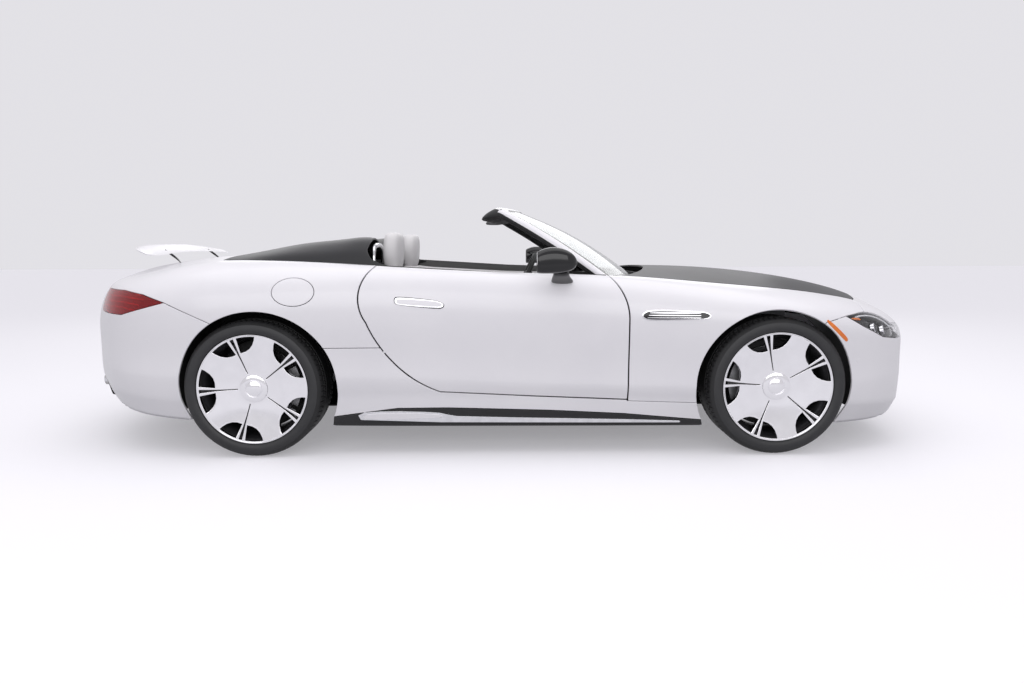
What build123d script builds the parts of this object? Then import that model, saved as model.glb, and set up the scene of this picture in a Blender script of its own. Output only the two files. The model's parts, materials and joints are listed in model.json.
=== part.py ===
"""Open two-seat roadster with a folding top, as separate panels, glass, seats and running gear.

Millimetres. +X is forward, +Y is the car's left, +Z is up. The origin is on the ground under the
middle of the car. Right-hand pieces are modelled first, and left-hand ones are their mirror image.
"""
from build123d import *
from math import cos, radians, sin
import os

os.makedirs("parts", exist_ok=True)

# ---- driving dimensions ------------------------------------------------------------------------
LENGTH = 4700
FRONT_AXLE_X = 1460
REAR_AXLE_X = -1240
SHUT_GAP = 7            # between a moving panel and its neighbours
FIXED_GAP = 0.8         # between two fixed panels
SEAT = 0.3              # left between two pieces that lie against each other
SKIN = 25               # thickness of a panel with its inner frame

TYRE_RADIUS = 358
RIM_RADIUS = 284
BEAD_RADIUS = 268
BARREL_RADIUS = 252
FRONT_TYRE_WIDTH = 265
REAR_TYRE_WIDTH = 285
TYRE_SIDE_Y = 938       # outer sidewall
WHEEL_Z = TYRE_RADIUS   # the car stands on its tyres
FRONT_ARCH_X = 1446
REAR_ARCH_X = -1212
ARCH_Z = 355
ARCH_RADIUS = 404
LINER_RADIUS = 424
LINER_WALL = 4

DOOR_INNER_Y = 795
DOOR_FLANGE = 28        # the skin stands this far past the door's inner box
SILL_TOP_Z = 290
FLOOR_Z = 150
FLOOR_WALL = 30
BULKHEAD_X = -830
FIREWALL_X = 800
PANEL_WALL = 25         # of the firewall and the rear bulkhead

# hinges: a lug on the fixed side stands in a slot or beside an ear on the moving side, on one pin
PIN_RADIUS = 3.5
BOSS_RADIUS = 6
LUG_WALL = 12
DOOR_PIN_X, DOOR_PIN_Y = 590, 908
DOOR_HINGE_HEIGHTS = (470, 740)
BONNET_PIN_X, BONNET_PIN_Z, BONNET_HINGE_Y = 690, 892, 718
LID_PIN_X, LID_PIN_Z, LID_HINGE_Y = -1560, 1000, 300
COVER_PIN_X, COVER_PIN_Z, COVER_HINGE_Y = -1370, 1000, 456

# ---- outer form: x, top z, crest y, z, widest y, z, crease y, z, rocker y, z, base y, z ---------
BODY_STATIONS = [
    (-LENGTH / 2, 640, 200, 630, 300, 520, 300, 430, 280, 395, 240, 360),
    (-2290, 800, 330, 775, 460, 600, 462, 450, 450, 372, 420, 310),
    (-2180, 925, 430, 888, 610, 650, 618, 455, 605, 346, 570, 270),
    (-2060, 970, 560, 915, 752, 700, 758, 455, 740, 332, 690, 240),
    (-1880, 1000, 670, 935, 880, 745, 875, 445, 855, 314, 810, 212),
    (-1620, 1028, 715, 990, 942, 750, 928, 435, 905, 300, 860, 188),
    (-1240, 1035, 750, 1012, 957, 745, 938, 428, 912, 300, 880, 168),
    (-650, 1005, 800, 985, 937, 750, 922, 425, 903, 318, 885, 155),
    (50, 962, 815, 946, 925, 720, 915, 398, 898, 312, 880, 150),
    (700, 958, 780, 922, 927, 700, 918, 377, 900, 296, 880, 148),
    (1100, 955, 750, 888, 940, 690, 927, 370, 908, 285, 880, 148),
    (1460, 932, 728, 855, 957, 675, 936, 368, 912, 275, 875, 148),
    (1750, 893, 700, 820, 930, 645, 922, 380, 902, 268, 850, 148),
    (1980, 845, 640, 778, 872, 605, 872, 395, 855, 258, 790, 150),
    (2140, 795, 545, 735, 778, 570, 782, 400, 765, 250, 700, 155),
    (2250, 735, 430, 690, 636, 550, 640, 400, 625, 250, 560, 165),
    (LENGTH / 2, 610, 200, 595, 300, 500, 300, 400, 288, 300, 250, 250),
]


def body_section(station, inset):
    """One closed cross-section of the body, pulled in by inset."""
    x, top, crest_y, crest_z, wide_y, wide_z, crease_y, crease_z, rocker_y, rocker_z, base_y, base_z = station
    x *= 1 - 2 * inset / LENGTH
    top, crest_z, base_z = top - inset, crest_z - inset, base_z + inset
    crest_y, wide_y, crease_y = crest_y - inset, wide_y - inset, crease_y - inset
    rocker_y, base_y = rocker_y - inset, base_y - inset
    # the crown is flattest over the middle and turns down towards its crests
    mid_y, mid_z = 0.55 * crest_y, top - 0.28 * (top - crest_z)
    shoulder_y = crest_y + 0.70 * (wide_y - crest_y)
    shoulder_z = crest_z - 0.36 * (crest_z - wide_z)
    with BuildSketch(Plane(origin=(x, 0, 0), x_dir=(0, 1, 0), z_dir=(1, 0, 0))) as section:
        with BuildLine():
            Polyline(
                (-crest_y, crest_z), (-mid_y, mid_z), (0, top), (mid_y, mid_z), (crest_y, crest_z),
            )
            for side in (1, -1):
                Polyline(
                    (side * crest_y, crest_z), (side * shoulder_y, shoulder_z), (side * wide_y, wide_z),
                    (side * crease_y, crease_z), (side * rocker_y, rocker_z), (side * base_y, base_z),
                )
            Line((-base_y, base_z), (base_y, base_z))
        make_face()
    return section.sketch


with BuildPart() as outer_form:
    loft(sections=[body_section(station, 0) for station in BODY_STATIONS], ruled=True)

with BuildPart() as body_skin:
    add(outer_form)
    loft(sections=[body_section(station, SKIN) for station in BODY_STATIONS], ruled=True, mode=Mode.SUBTRACT)


# ---- cut lines of the panels, as flat outlines ---------------------------------------------------
# side outlines lie on Plane.XZ, where a sketch's x, y are the car's x, z
with BuildSketch(Plane.XZ) as door_outline:
    with BuildLine():
        Polyline((560, 1100), (600, 925))
        ThreePointArc((600, 925), (672, 812), (690, 700))
        Polyline((690, 700), (686, SILL_TOP_Z), (-280, SILL_TOP_Z + 46))
        ThreePointArc((-280, SILL_TOP_Z + 46), (-507, 484), (-648, 700))
        ThreePointArc((-648, 700), (-684, 840), (-618, 975))
        Polyline((-618, 975), (-580, 1100), (560, 1100))
    make_face()

# the sill panel lies under the door and rises behind it
SILL_REAR_TOP_Z = 570
with BuildSketch(Plane.XZ) as sill_outline:
    with BuildLine():
        Polyline(
            (1150, 100), (1150, SILL_TOP_Z - 18), (686, SILL_TOP_Z - SHUT_GAP), (200, SILL_TOP_Z + 14),
            (-280, SILL_TOP_Z + 39), (-450, 570), (-950, SILL_REAR_TOP_Z), (-950, 100), close=True,
        )
    make_face()

SILL_EDGE = [(1150, 172), (942, 190), (678, 214), (284, 234), (-241, 250), (-504, 249), (-820, 208), (-950, 190)]
with BuildSketch(Plane.XZ) as sill_insert_outline:
    with BuildLine():
        Polyline(*SILL_EDGE, (-950, 0), (1150, 0), close=True)
    make_face()

# the bumpers meet the wings on a line from the lamp to the wheel arch
with BuildSketch(Plane.XZ) as front_bumper_outline:
    with BuildLine():
        Polyline((1460, 0), (1460, 560), (1690, 692), (1800, 716), (1935, 735), (2040, 900), (2500, 900), (2500, 0), close=True)
    make_face()

with BuildSketch(Plane.XZ) as rear_bumper_outline:
    with BuildLine():
        Polyline((-1240, 0), (-1240, 640), (-1425, 700), (-1664, 803), (-1930, 772), (-2600, 772), (-2600, 0), close=True)
    make_face()

with BuildSketch(Plane.XZ) as headlamp_outline:
    with BuildLine():
        Polyline((1804, 721), (1875, 731))
        ThreePointArc((1875, 731), (2030, 716), (2130, 662))
        Polyline((2130, 662), (2300, 640), (2300, 590), (2080, 588), (1804, 721))
    make_face()

with BuildSketch(Plane.XZ) as tail_lamp_outline:
    with BuildLine():
        Polyline((-1660, 806), (-1780, 845), (-1911, 863), (-2400, 863), (-2400, 742), (-1941, 739), (-1660, 806))
    make_face()

HEADLAMP_INNER_Y = 450
TAIL_LAMP_INNER_Y = 600

# top outlines lie on Plane.XY
BONNET_REAR_X = 668
BONNET_NOSE_X = 2130
with BuildSketch() as bonnet_outline:
    with BuildLine():
        ThreePointArc((BONNET_REAR_X, -742), (900, 0), (BONNET_REAR_X, 742))
        Polyline((BONNET_REAR_X, 742), (1150, 724), (1472, 705), (1788, 668), (1965, 620))
        ThreePointArc((1965, 620), (BONNET_NOSE_X, 0), (1965, -620))
        Polyline((1965, -620), (1788, -668), (1472, -705), (1150, -724), (BONNET_REAR_X, -742))
    make_face()

LID_FRONT_X = -1478
LID_HALF_WIDTH = 590
with BuildSketch() as lid_outline:
    with BuildLine():
        Polyline(
            (LID_FRONT_X, -LID_HALF_WIDTH - 60), (LID_FRONT_X, LID_HALF_WIDTH + 60), (-1800, LID_HALF_WIDTH + 30),
            (-2000, LID_HALF_WIDTH), (-2500, LID_HALF_WIDTH), (-2500, -LID_HALF_WIDTH),
            (-2000, -LID_HALF_WIDTH), (-1800, -LID_HALF_WIDTH - 30), close=True,
        )
    make_face()
LID_LOW_Z = 790

COVER_REAR_X = LID_FRONT_X + 14
COVER_FRONT_X = -520
with BuildSketch() as cover_outline:
    with BuildLine():
        Polyline(
            (COVER_REAR_X, -640), (COVER_REAR_X, 640), (-1400, 700), (-1200, 742), (-800, 765), (COVER_FRONT_X, 775),
            (COVER_FRONT_X, -775), (-800, -765), (-1200, -742), (-1400, -700), close=True,
        )
    make_face()

# the open cockpit, from the cowl to behind the seats
with BuildSketch() as cockpit_outline:
    with BuildLine():
        Polyline(
            (-700, -790), (-700, 790), (640, 770), (BONNET_REAR_X, 742), (900, 0), (BONNET_REAR_X, -742),
            (640, -770), close=True,
        )
    make_face()


REACH = 1200             # how far a cutting outline is carried through the body


def cut_side(outline, gap=0, mode=Mode.SUBTRACT, from_y=0):
    """Carry a side outline, grown by gap, from from_y outwards through the right side of the part being built."""
    with BuildSketch(Plane.XZ.offset(from_y)) as cut:
        add(outline)
        if gap:
            offset(amount=gap)
    extrude(cut.sketch, amount=REACH, mode=mode)


def cut_top(outline, gap=0, mode=Mode.SUBTRACT):
    """Carry a top outline, grown by gap, up through the part being built."""
    with BuildSketch() as cut:
        add(outline)
        if gap:
            offset(amount=gap)
    extrude(cut.sketch, amount=REACH, mode=mode)


def wheel_hole(axle_x, radius):
    """Open the wheel arch through the right half of the part being built."""
    with BuildSketch(Plane.XZ) as hole:
        with Locations((axle_x, ARCH_Z)):
            Circle(radius)
    extrude(hole.sketch, amount=REACH, mode=Mode.SUBTRACT)


def save(piece, name):
    piece.part.label = name
    export_step(piece.part, f"parts/{name}.step")
    solids = piece.part.solids()
    print(f"{name:24s} {len(solids)} solids  {piece.part.volume / 1e9:.5f} m3  valid {piece.part.is_valid}")


# ---- doors ---------------------------------------------------------------------------------------
# the outer skin overlaps the thick inner box all round, as a real door's flange does
with BuildPart() as door_box:
    add(outer_form)
    with BuildSketch(Plane.XZ.offset(DOOR_INNER_Y)):
        add(door_outline)
        offset(amount=-DOOR_FLANGE)
    extrude(amount=300, mode=Mode.INTERSECT)

HANDLE_X, HANDLE_Z = -376, 801
with BuildPart() as door_right:
    add(body_skin)
    cut_side(door_outline, 0, Mode.INTERSECT, from_y=DOOR_INNER_Y)
    add(door_box)
    with BuildSketch(Plane.XZ.offset(915)):
        with Locations((HANDLE_X, HANDLE_Z)):
            SlotOverall(238, 44)
    extrude(amount=22)
    # slots for the hinge lugs, with the pins left standing across them
    for z in DOOR_HINGE_HEIGHTS:
        with BuildSketch(Plane.XY.offset(z - LUG_WALL / 2 - SEAT)):
            with Locations((DOOR_PIN_X + 45, -DOOR_PIN_Y + 60 - BOSS_RADIUS - 1)):
                Rectangle(120, 120)
        extrude(amount=LUG_WALL + 2 * SEAT, mode=Mode.SUBTRACT)
        with BuildSketch(Plane.XY.offset(z - LUG_WALL)):
            with Locations((DOOR_PIN_X, -DOOR_PIN_Y)):
                Circle(PIN_RADIUS)
        extrude(amount=2 * LUG_WALL)
save(door_right, "door_right")
with BuildPart() as door_left:
    add(mirror(door_right.part, about=Plane.XZ, mode=Mode.PRIVATE))
save(door_left, "door_left")

# ---- front wings -----------------------------------------------------------------------------------
with BuildPart() as wing_right:
    add(body_skin)
    with BuildSketch(Plane.XZ):
        with BuildLine():
            Polyline(
                (585, 1100), (585, SILL_TOP_Z - 18), (1200, SILL_TOP_Z - 18), (1460, 500), (2040, 500), (2040, 1100),
                close=True,
            )
        make_face()
    extrude(amount=REACH, mode=Mode.INTERSECT)
    cut_side(door_outline, SHUT_GAP)
    cut_side(sill_outline, FIXED_GAP)
    cut_side(front_bumper_outline, FIXED_GAP)
    cut_side(headlamp_outline, FIXED_GAP, from_y=HEADLAMP_INNER_Y - FIXED_GAP)
    cut_top(bonnet_outline, SHUT_GAP)
    cut_top(cockpit_outline, SHUT_GAP)
    wheel_hole(FRONT_ARCH_X, ARCH_RADIUS)
with BuildPart() as front_wings:
    add(wing_right.part.solids().sort_by(SortBy.VOLUME)[-1])
    mirror(about=Plane.XZ)
save(front_wings, "front_wings")

# ---- rear quarters -----------------------------------------------------------------------------------
FLAP_X, FLAP_Z, FLAP_LONG, FLAP_HIGH = -995, 857, 108, 70
with BuildPart() as quarter_blank:
    add(body_skin)
    with BuildSketch(Plane.XZ):
        with BuildLine():
            Polyline((-560, 1100), (-560, 560), (-1240, 560), (-1700, 700), (-2600, 740), (-2600, 1100), close=True)
        make_face()
    extrude(amount=REACH, mode=Mode.INTERSECT)
    cut_side(door_outline, SHUT_GAP)
    cut_side(sill_outline, FIXED_GAP)
    cut_side(rear_bumper_outline, FIXED_GAP)
    cut_side(tail_lamp_outline, FIXED_GAP, from_y=TAIL_LAMP_INNER_Y - FIXED_GAP)
    cut_top(cover_outline, SHUT_GAP)
    cut_top(lid_outline, SHUT_GAP)
    cut_top(cockpit_outline, SHUT_GAP)
    wheel_hole(REAR_ARCH_X, ARCH_RADIUS)
FLAP_WALL, FLAP_LEDGE, FLAP_GAP = 6, 14, 4


def flap_prism(gap, mode):
    """Carry the flap's oval, grown by gap, out through the right side of the part being built."""
    with BuildSketch(Plane.XZ) as oval:
        with Locations((FLAP_X, FLAP_Z)):
            Ellipse(FLAP_LONG + gap, FLAP_HIGH + gap)
    extrude(oval.sketch, amount=REACH, mode=mode)


def flap_plate(wall, gap):
    """The body's outer skin over the flap, wall thick and grown by gap."""
    with BuildPart() as plate:
        add(outer_form)
        loft(sections=[body_section(station, wall) for station in BODY_STATIONS[5:9]], ruled=True, mode=Mode.SUBTRACT)
        flap_prism(gap, Mode.INTERSECT)
    return plate.part


with BuildPart() as rear_quarters:
    add(quarter_blank.part.solids().sort_by(SortBy.VOLUME)[-1])
    mirror(about=Plane.XZ)
    # the flap's seat, and the filler's pocket inside it
    add(flap_plate(FLAP_WALL + SEAT, FLAP_GAP), mode=Mode.SUBTRACT)
    flap_prism(-FLAP_LEDGE, Mode.SUBTRACT)
save(rear_quarters, "rear_quarters")
with BuildPart() as fuel_flap:
    add(flap_plate(FLAP_WALL, 0))
save(fuel_flap, "fuel_flap")

# ---- sill panels and the black inserts below them -----------------------------------------------------
with BuildPart() as sill_right:
    add(body_skin)
    cut_side(sill_outline, 0, Mode.INTERSECT)
    cut_side(door_outline, SHUT_GAP)
    cut_side(sill_insert_outline, FIXED_GAP)
    wheel_hole(FRONT_ARCH_X, ARCH_RADIUS)
    wheel_hole(REAR_ARCH_X, ARCH_RADIUS)
with BuildPart() as sill_panels:
    add(sill_right.part.solids().sort_by(SortBy.VOLUME)[-1])
    mirror(about=Plane.XZ)
save(sill_panels, "sill_panels")
with BuildPart() as insert_right:
    add(body_skin)
    cut_side(sill_outline, 0, Mode.INTERSECT)
    cut_side(sill_insert_outline, 0, Mode.INTERSECT)
    with BuildSketch(Plane.XY):
        with Locations((0, -1000)):
            Rectangle(4000, 2 * (1000 - 840))
    extrude(amount=REACH, mode=Mode.INTERSECT)
    wheel_hole(FRONT_ARCH_X, ARCH_RADIUS)
    wheel_hole(REAR_ARCH_X, ARCH_RADIUS)
with BuildPart() as sill_inserts:
    add(insert_right.part.solids().sort_by(SortBy.VOLUME)[-1])
    mirror(about=Plane.XZ)
save(sill_inserts, "sill_inserts")

# ---- bonnet, boot lid --------------------------------------------------------------------------------
with BuildPart() as bonnet:
    add(body_skin)
    with BuildSketch(Plane.XY.offset(600)):
        add(bonnet_outline)
    extrude(amount=600, mode=Mode.INTERSECT)
    for side in (1, -1):
        with BuildSketch(Plane.XZ.offset(side * (BONNET_HINGE_Y - LUG_WALL / 2) + LUG_WALL / 2)):
            with BuildLine():
                Polyline(
                    (BONNET_PIN_X, BONNET_PIN_Z - BOSS_RADIUS), (BONNET_PIN_X + 80, BONNET_PIN_Z - 12),
                    (BONNET_PIN_X + 80, BONNET_PIN_Z + 16), (BONNET_PIN_X + 6, BONNET_PIN_Z + 14),
                    (BONNET_PIN_X, BONNET_PIN_Z + BOSS_RADIUS), close=True,
                )
            make_face()
            with Locations((BONNET_PIN_X, BONNET_PIN_Z)):
                Circle(BOSS_RADIUS)
        extrude(amount=-LUG_WALL)
        with BuildSketch(Plane.XZ.offset(side * BONNET_HINGE_Y + LUG_WALL)):
            with Locations((BONNET_PIN_X, BONNET_PIN_Z)):
                Circle(PIN_RADIUS)
        extrude(amount=-2 * LUG_WALL)
save(bonnet, "bonnet")

STRUT_Y, STRUT_WALL, STRUT_PLAY = 300, 24, 6
SPOILER_PIVOT = (-1842, 985)
PIVOT_RADIUS = 5
with BuildPart() as boot_lid:
    add(body_skin)
    with BuildSketch(Plane.XY.offset(LID_LOW_Z)):
        add(lid_outline)
    extrude(amount=600, mode=Mode.INTERSECT)
    # slots that the aerofoil's struts stand in
    with BuildSketch(Plane.XY.offset(900)):
        with Locations((SPOILER_PIVOT[0] - 40, STRUT_Y), (SPOILER_PIVOT[0] - 40, -STRUT_Y)):
            Rectangle(150, STRUT_WALL + 2 * STRUT_PLAY)
    extrude(amount=200, mode=Mode.SUBTRACT)
    # slots for the hinge lugs under the front edge, with their pins
    for y in (-LID_HINGE_Y, LID_HINGE_Y):
        with BuildSketch(Plane.XY.offset(LID_PIN_Z - 80)):
            with Locations((LID_PIN_X + 8, y)):
                Rectangle(36, LUG_WALL + 2 * SEAT)
        extrude(amount=80 + BOSS_RADIUS + 3, mode=Mode.SUBTRACT)
        with BuildSketch(Plane.XZ.offset(-y - LUG_WALL)):
            with Locations((LID_PIN_X, LID_PIN_Z)):
                Circle(PIN_RADIUS)
        extrude(amount=2 * LUG_WALL)
save(boot_lid, "boot_lid")

# ---- bumpers, grilles and lamps ----------------------------------------------------------------------
GRILLE_HALF, GRILLE_LOW, GRILLE_HIGH = 400, 400, 640
INTAKE_HALF, INTAKE_LOW, INTAKE_HIGH = 600, 205, 320
with BuildSketch(Plane.YZ.offset(1900)) as grille_outline:
    with BuildLine():
        Polyline(
            (-GRILLE_HALF, GRILLE_LOW), (GRILLE_HALF, GRILLE_LOW), (GRILLE_HALF - 90, GRILLE_HIGH),
            (-GRILLE_HALF + 90, GRILLE_HIGH), close=True,
        )
    make_face()
with BuildSketch(Plane.YZ.offset(1900)) as intake_outline:
    with BuildLine():
        Polyline(
            (-INTAKE_HALF, INTAKE_LOW), (INTAKE_HALF, INTAKE_LOW), (INTAKE_HALF - 70, INTAKE_HIGH),
            (-INTAKE_HALF + 70, INTAKE_HIGH), close=True,
        )
    make_face()
with BuildPart() as front_half:
    add(body_skin)
    cut_side(front_bumper_outline, 0, Mode.INTERSECT)
    cut_side(headlamp_outline, FIXED_GAP, from_y=HEADLAMP_INNER_Y - FIXED_GAP)
    wheel_hole(FRONT_ARCH_X, ARCH_RADIUS)
with BuildPart() as front_bumper:
    add(front_half.part.solids().sort_by(SortBy.VOLUME)[-1])
    mirror(about=Plane.XZ)
    cut_top(bonnet_outline, SHUT_GAP + 1)
    extrude(grille_outline.sketch, amount=600, mode=Mode.SUBTRACT)
    extrude(intake_outline.sketch, amount=600, mode=Mode.SUBTRACT)
save(front_bumper, "front_bumper")

SLAT_PITCH = 50
GRILLE_DEPTH = 40       # the grille's face lies this far inside the bumper's
with BuildPart() as grille:
    add(outer_form)
    with BuildSketch(Plane.YZ.offset(1900)):
        add(grille_outline)
        offset(amount=-SEAT)
        for slat in range(-8, 8):
            with Locations(((slat + 0.5) * SLAT_PITCH, (GRILLE_LOW + GRILLE_HIGH) / 2)):
                Rectangle(SLAT_PITCH - 14, GRILLE_HIGH - GRILLE_LOW - 30, mode=Mode.SUBTRACT)
    extrude(amount=600, mode=Mode.INTERSECT)
    with BuildSketch(Plane.XY):
        with Locations((1000 + 2290, 0)):
            Rectangle(2000, 2000)
    extrude(amount=REACH, mode=Mode.SUBTRACT)
    with BuildSketch(Plane.XY):
        with Locations((2250 - 1000, 0)):
            Rectangle(2000, 2000)
    extrude(amount=REACH, mode=Mode.SUBTRACT)
with BuildPart() as lower_grille:
    with BuildSketch(Plane.YZ.offset(2180)):
        add(intake_outline)
        offset(amount=-SEAT)
        for bar in range(4):
            with Locations((0, INTAKE_LOW + 18 + 26 * bar)):
                Rectangle(2 * INTAKE_HALF - 200, 14, mode=Mode.SUBTRACT)
    extrude(amount=20)
    add(outer_form, mode=Mode.INTERSECT)
with BuildPart() as grilles:
    add(grille)
    add(lower_grille)
save(grilles, "grilles")

with BuildPart() as headlamp_right:
    add(body_skin)
    cut_side(headlamp_outline, 0, Mode.INTERSECT, from_y=HEADLAMP_INNER_Y)
with BuildPart() as headlamps:
    add(headlamp_right.part.solids().sort_by(SortBy.VOLUME)[-1])
    mirror(about=Plane.XZ)
save(headlamps, "headlamps")

with BuildPart() as tail_lamp_right:
    add(body_skin)
    cut_side(tail_lamp_outline, 0, Mode.INTERSECT, from_y=TAIL_LAMP_INNER_Y)
with BuildPart() as tail_lamps:
    add(tail_lamp_right.part.solids().sort_by(SortBy.VOLUME)[-1])
    mirror(about=Plane.XZ)
save(tail_lamps, "tail_lamps")

DIFFUSER_HALF, DIFFUSER_TOP_Z = 620, 350
TIP_Y, TIP_Z, TIP_PITCH = 400, 335, 106
TIP_END_X = -2262
with BuildSketch(Plane.YZ.offset(-2600)) as diffuser_outline:
    with BuildLine():
        Polyline(
            (-DIFFUSER_HALF, 100), (-DIFFUSER_HALF + 60, DIFFUSER_TOP_Z), (-220, DIFFUSER_TOP_Z + 70),
            (220, DIFFUSER_TOP_Z + 70), (DIFFUSER_HALF - 60, DIFFUSER_TOP_Z), (DIFFUSER_HALF, 100), close=True,
        )
    make_face()
with BuildPart() as rear_half:
    add(body_skin)
    cut_side(rear_bumper_outline, 0, Mode.INTERSECT)
    cut_side(tail_lamp_outline, FIXED_GAP, from_y=TAIL_LAMP_INNER_Y - FIXED_GAP)
    wheel_hole(REAR_ARCH_X, ARCH_RADIUS)
DIFFUSER_FRONT_X = -1700
with BuildPart() as rear_bumper:
    add(rear_half.part.solids().sort_by(SortBy.VOLUME)[-1])
    mirror(about=Plane.XZ)
    extrude(offset(diffuser_outline.sketch, FIXED_GAP, mode=Mode.PRIVATE), amount=2600 + DIFFUSER_FRONT_X, mode=Mode.SUBTRACT)
    with BuildSketch(Plane.XY):
        with Locations((DIFFUSER_FRONT_X + 500, 0)):
            Rectangle(1000, 1200)
    extrude(amount=400, mode=Mode.SUBTRACT)
save(rear_bumper, "rear_bumper")

FIN_PITCH = 150
with BuildPart() as diffuser:
    add(body_skin)
    with BuildSketch(Plane.YZ.offset(-2600)):
        add(diffuser_outline)
    extrude(amount=2600 + DIFFUSER_FRONT_X, mode=Mode.INTERSECT)
    for y in (-TIP_Y, TIP_Y):
        with BuildSketch(Plane.YZ.offset(-2600)):
            with Locations((y, TIP_Z)):
                RectangleRounded(TIP_PITCH + 92 + 12, 62 + 12, 26)
        extrude(amount=600, mode=Mode.SUBTRACT)
save(diffuser, "diffuser")

# ---- structure: floor, bulkheads, boot tub, cowl, cockpit trim ------------------------------------------
FLOOR_HALF = 700
SILL_BEAM_HALF = 820
TUNNEL_TOP_Z = 300
with BuildPart() as floor_pan:
    with BuildSketch(Plane.XY.offset(FLOOR_Z)):
        with Locations(((FIREWALL_X + BULKHEAD_X) / 2, 0)):
            Rectangle(FIREWALL_X - BULKHEAD_X, 2 * FLOOR_HALF)
    extrude(amount=FLOOR_WALL)
    # box beams along both sides, under the doors
    with BuildSketch(Plane.XY.offset(FLOOR_Z)):
        with Locations(((FIREWALL_X + BULKHEAD_X + 80) / 2, (FLOOR_HALF + SILL_BEAM_HALF) / 2),
                       ((FIREWALL_X + BULKHEAD_X + 80) / 2, -(FLOOR_HALF + SILL_BEAM_HALF) / 2)):
            Rectangle(FIREWALL_X - BULKHEAD_X - 80, SILL_BEAM_HALF - FLOOR_HALF)
    extrude(amount=SILL_TOP_Z - FLOOR_Z - 10)
    # centre tunnel
    with BuildSketch(Plane.YZ.offset(BULKHEAD_X)):
        with Locations((0, (FLOOR_Z + FLOOR_WALL + TUNNEL_TOP_Z) / 2)):
            Rectangle(240, TUNNEL_TOP_Z - FLOOR_Z - FLOOR_WALL)
    extrude(amount=FIREWALL_X - BULKHEAD_X)
save(floor_pan, "floor_pan")

COWL_LOW_Z, COWL_TOP_Z = 870, 900
POST_REAR_X, POST_INNER_Y = 700, 735
LUG_INNER_Y = 774
with BuildPart() as firewall:
    with BuildSketch(Plane.YZ.offset(FIREWALL_X)):
        with Locations((0, (FLOOR_Z + COWL_LOW_Z - SEAT) / 2)):
            Rectangle(2000, COWL_LOW_Z - SEAT - FLOOR_Z)
    extrude(amount=PANEL_WALL)
    # the posts that carry the doors and the wings
    with BuildSketch(Plane.XY.offset(SILL_TOP_Z - 10 + SEAT)):
        for side in (1, -1):
            with Locations(((POST_REAR_X + FIREWALL_X) / 2, side * (POST_INNER_Y + 1000) / 2)):
                Rectangle(FIREWALL_X - POST_REAR_X, 1000 - POST_INNER_Y)
    extrude(amount=COWL_LOW_Z - SILL_TOP_Z + 10 - 2 * SEAT)
    loft(sections=[body_section(station, SKIN + SEAT) for station in BODY_STATIONS[8:11]], ruled=True, mode=Mode.INTERSECT)
    for side in (1, -1):
        for z in DOOR_HINGE_HEIGHTS:
            with BuildSketch(Plane.XY.offset(z - LUG_WALL / 2)):
                with BuildLine():
                    Polyline(
                        (DOOR_PIN_X - BOSS_RADIUS, side * DOOR_PIN_Y), (DOOR_PIN_X - BOSS_RADIUS, side * LUG_INNER_Y),
                        (POST_REAR_X + 5, side * LUG_INNER_Y), (POST_REAR_X + 5, side * (LUG_INNER_Y + 18)),
                        (DOOR_PIN_X + BOSS_RADIUS, side * (LUG_INNER_Y + 18)), (DOOR_PIN_X + BOSS_RADIUS, side * DOOR_PIN_Y),
                        close=True,
                    )
                make_face()
                with Locations((DOOR_PIN_X, side * DOOR_PIN_Y)):
                    Circle(BOSS_RADIUS)
                    Circle(PIN_RADIUS + SEAT, mode=Mode.SUBTRACT)
            extrude(amount=LUG_WALL)
        # bonnet hinge lugs
        with BuildSketch(Plane.XZ.offset(side * (BONNET_HINGE_Y + SEAT + LUG_WALL / 2) + LUG_WALL / 2)):
            with BuildLine():
                Polyline(
                    (BONNET_PIN_X + 6, BONNET_PIN_Z - 2), (FIREWALL_X + PANEL_WALL, COWL_LOW_Z - 8),
                    (FIREWALL_X + PANEL_WALL, COWL_LOW_Z - 40), (BONNET_PIN_X - 4, BONNET_PIN_Z - 4), close=True,
                )
            make_face()
            with Locations((BONNET_PIN_X, BONNET_PIN_Z)):
                Circle(BOSS_RADIUS)
                Circle(PIN_RADIUS + SEAT, mode=Mode.SUBTRACT)
        extrude(amount=-LUG_WALL)
save(firewall, "firewall")

SHELF_TOP_Z, SHELF_FRONT_X, SHELF_HALF, SHELF_WALL = 900, -655, 760, 25
BULKHEAD_HALF = 596
with BuildPart() as rear_bulkhead:
    with BuildSketch(Plane.YZ.offset(BULKHEAD_X - PANEL_WALL)):
        with Locations((0, (FLOOR_Z + SHELF_TOP_Z) / 2)):
            Rectangle(2 * BULKHEAD_HALF, SHELF_TOP_Z - FLOOR_Z)
    extrude(amount=PANEL_WALL - SEAT)
    # the shelf behind the seats
    with BuildSketch(Plane.XY.offset(SHELF_TOP_Z - SHELF_WALL)):
        with Locations(((BULKHEAD_X - PANEL_WALL + SHELF_FRONT_X) / 2, 0)):
            Rectangle(SHELF_FRONT_X - BULKHEAD_X + PANEL_WALL, 2 * SHELF_HALF)
    extrude(amount=SHELF_WALL)
save(rear_bulkhead, "rear_bulkhead")

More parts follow.
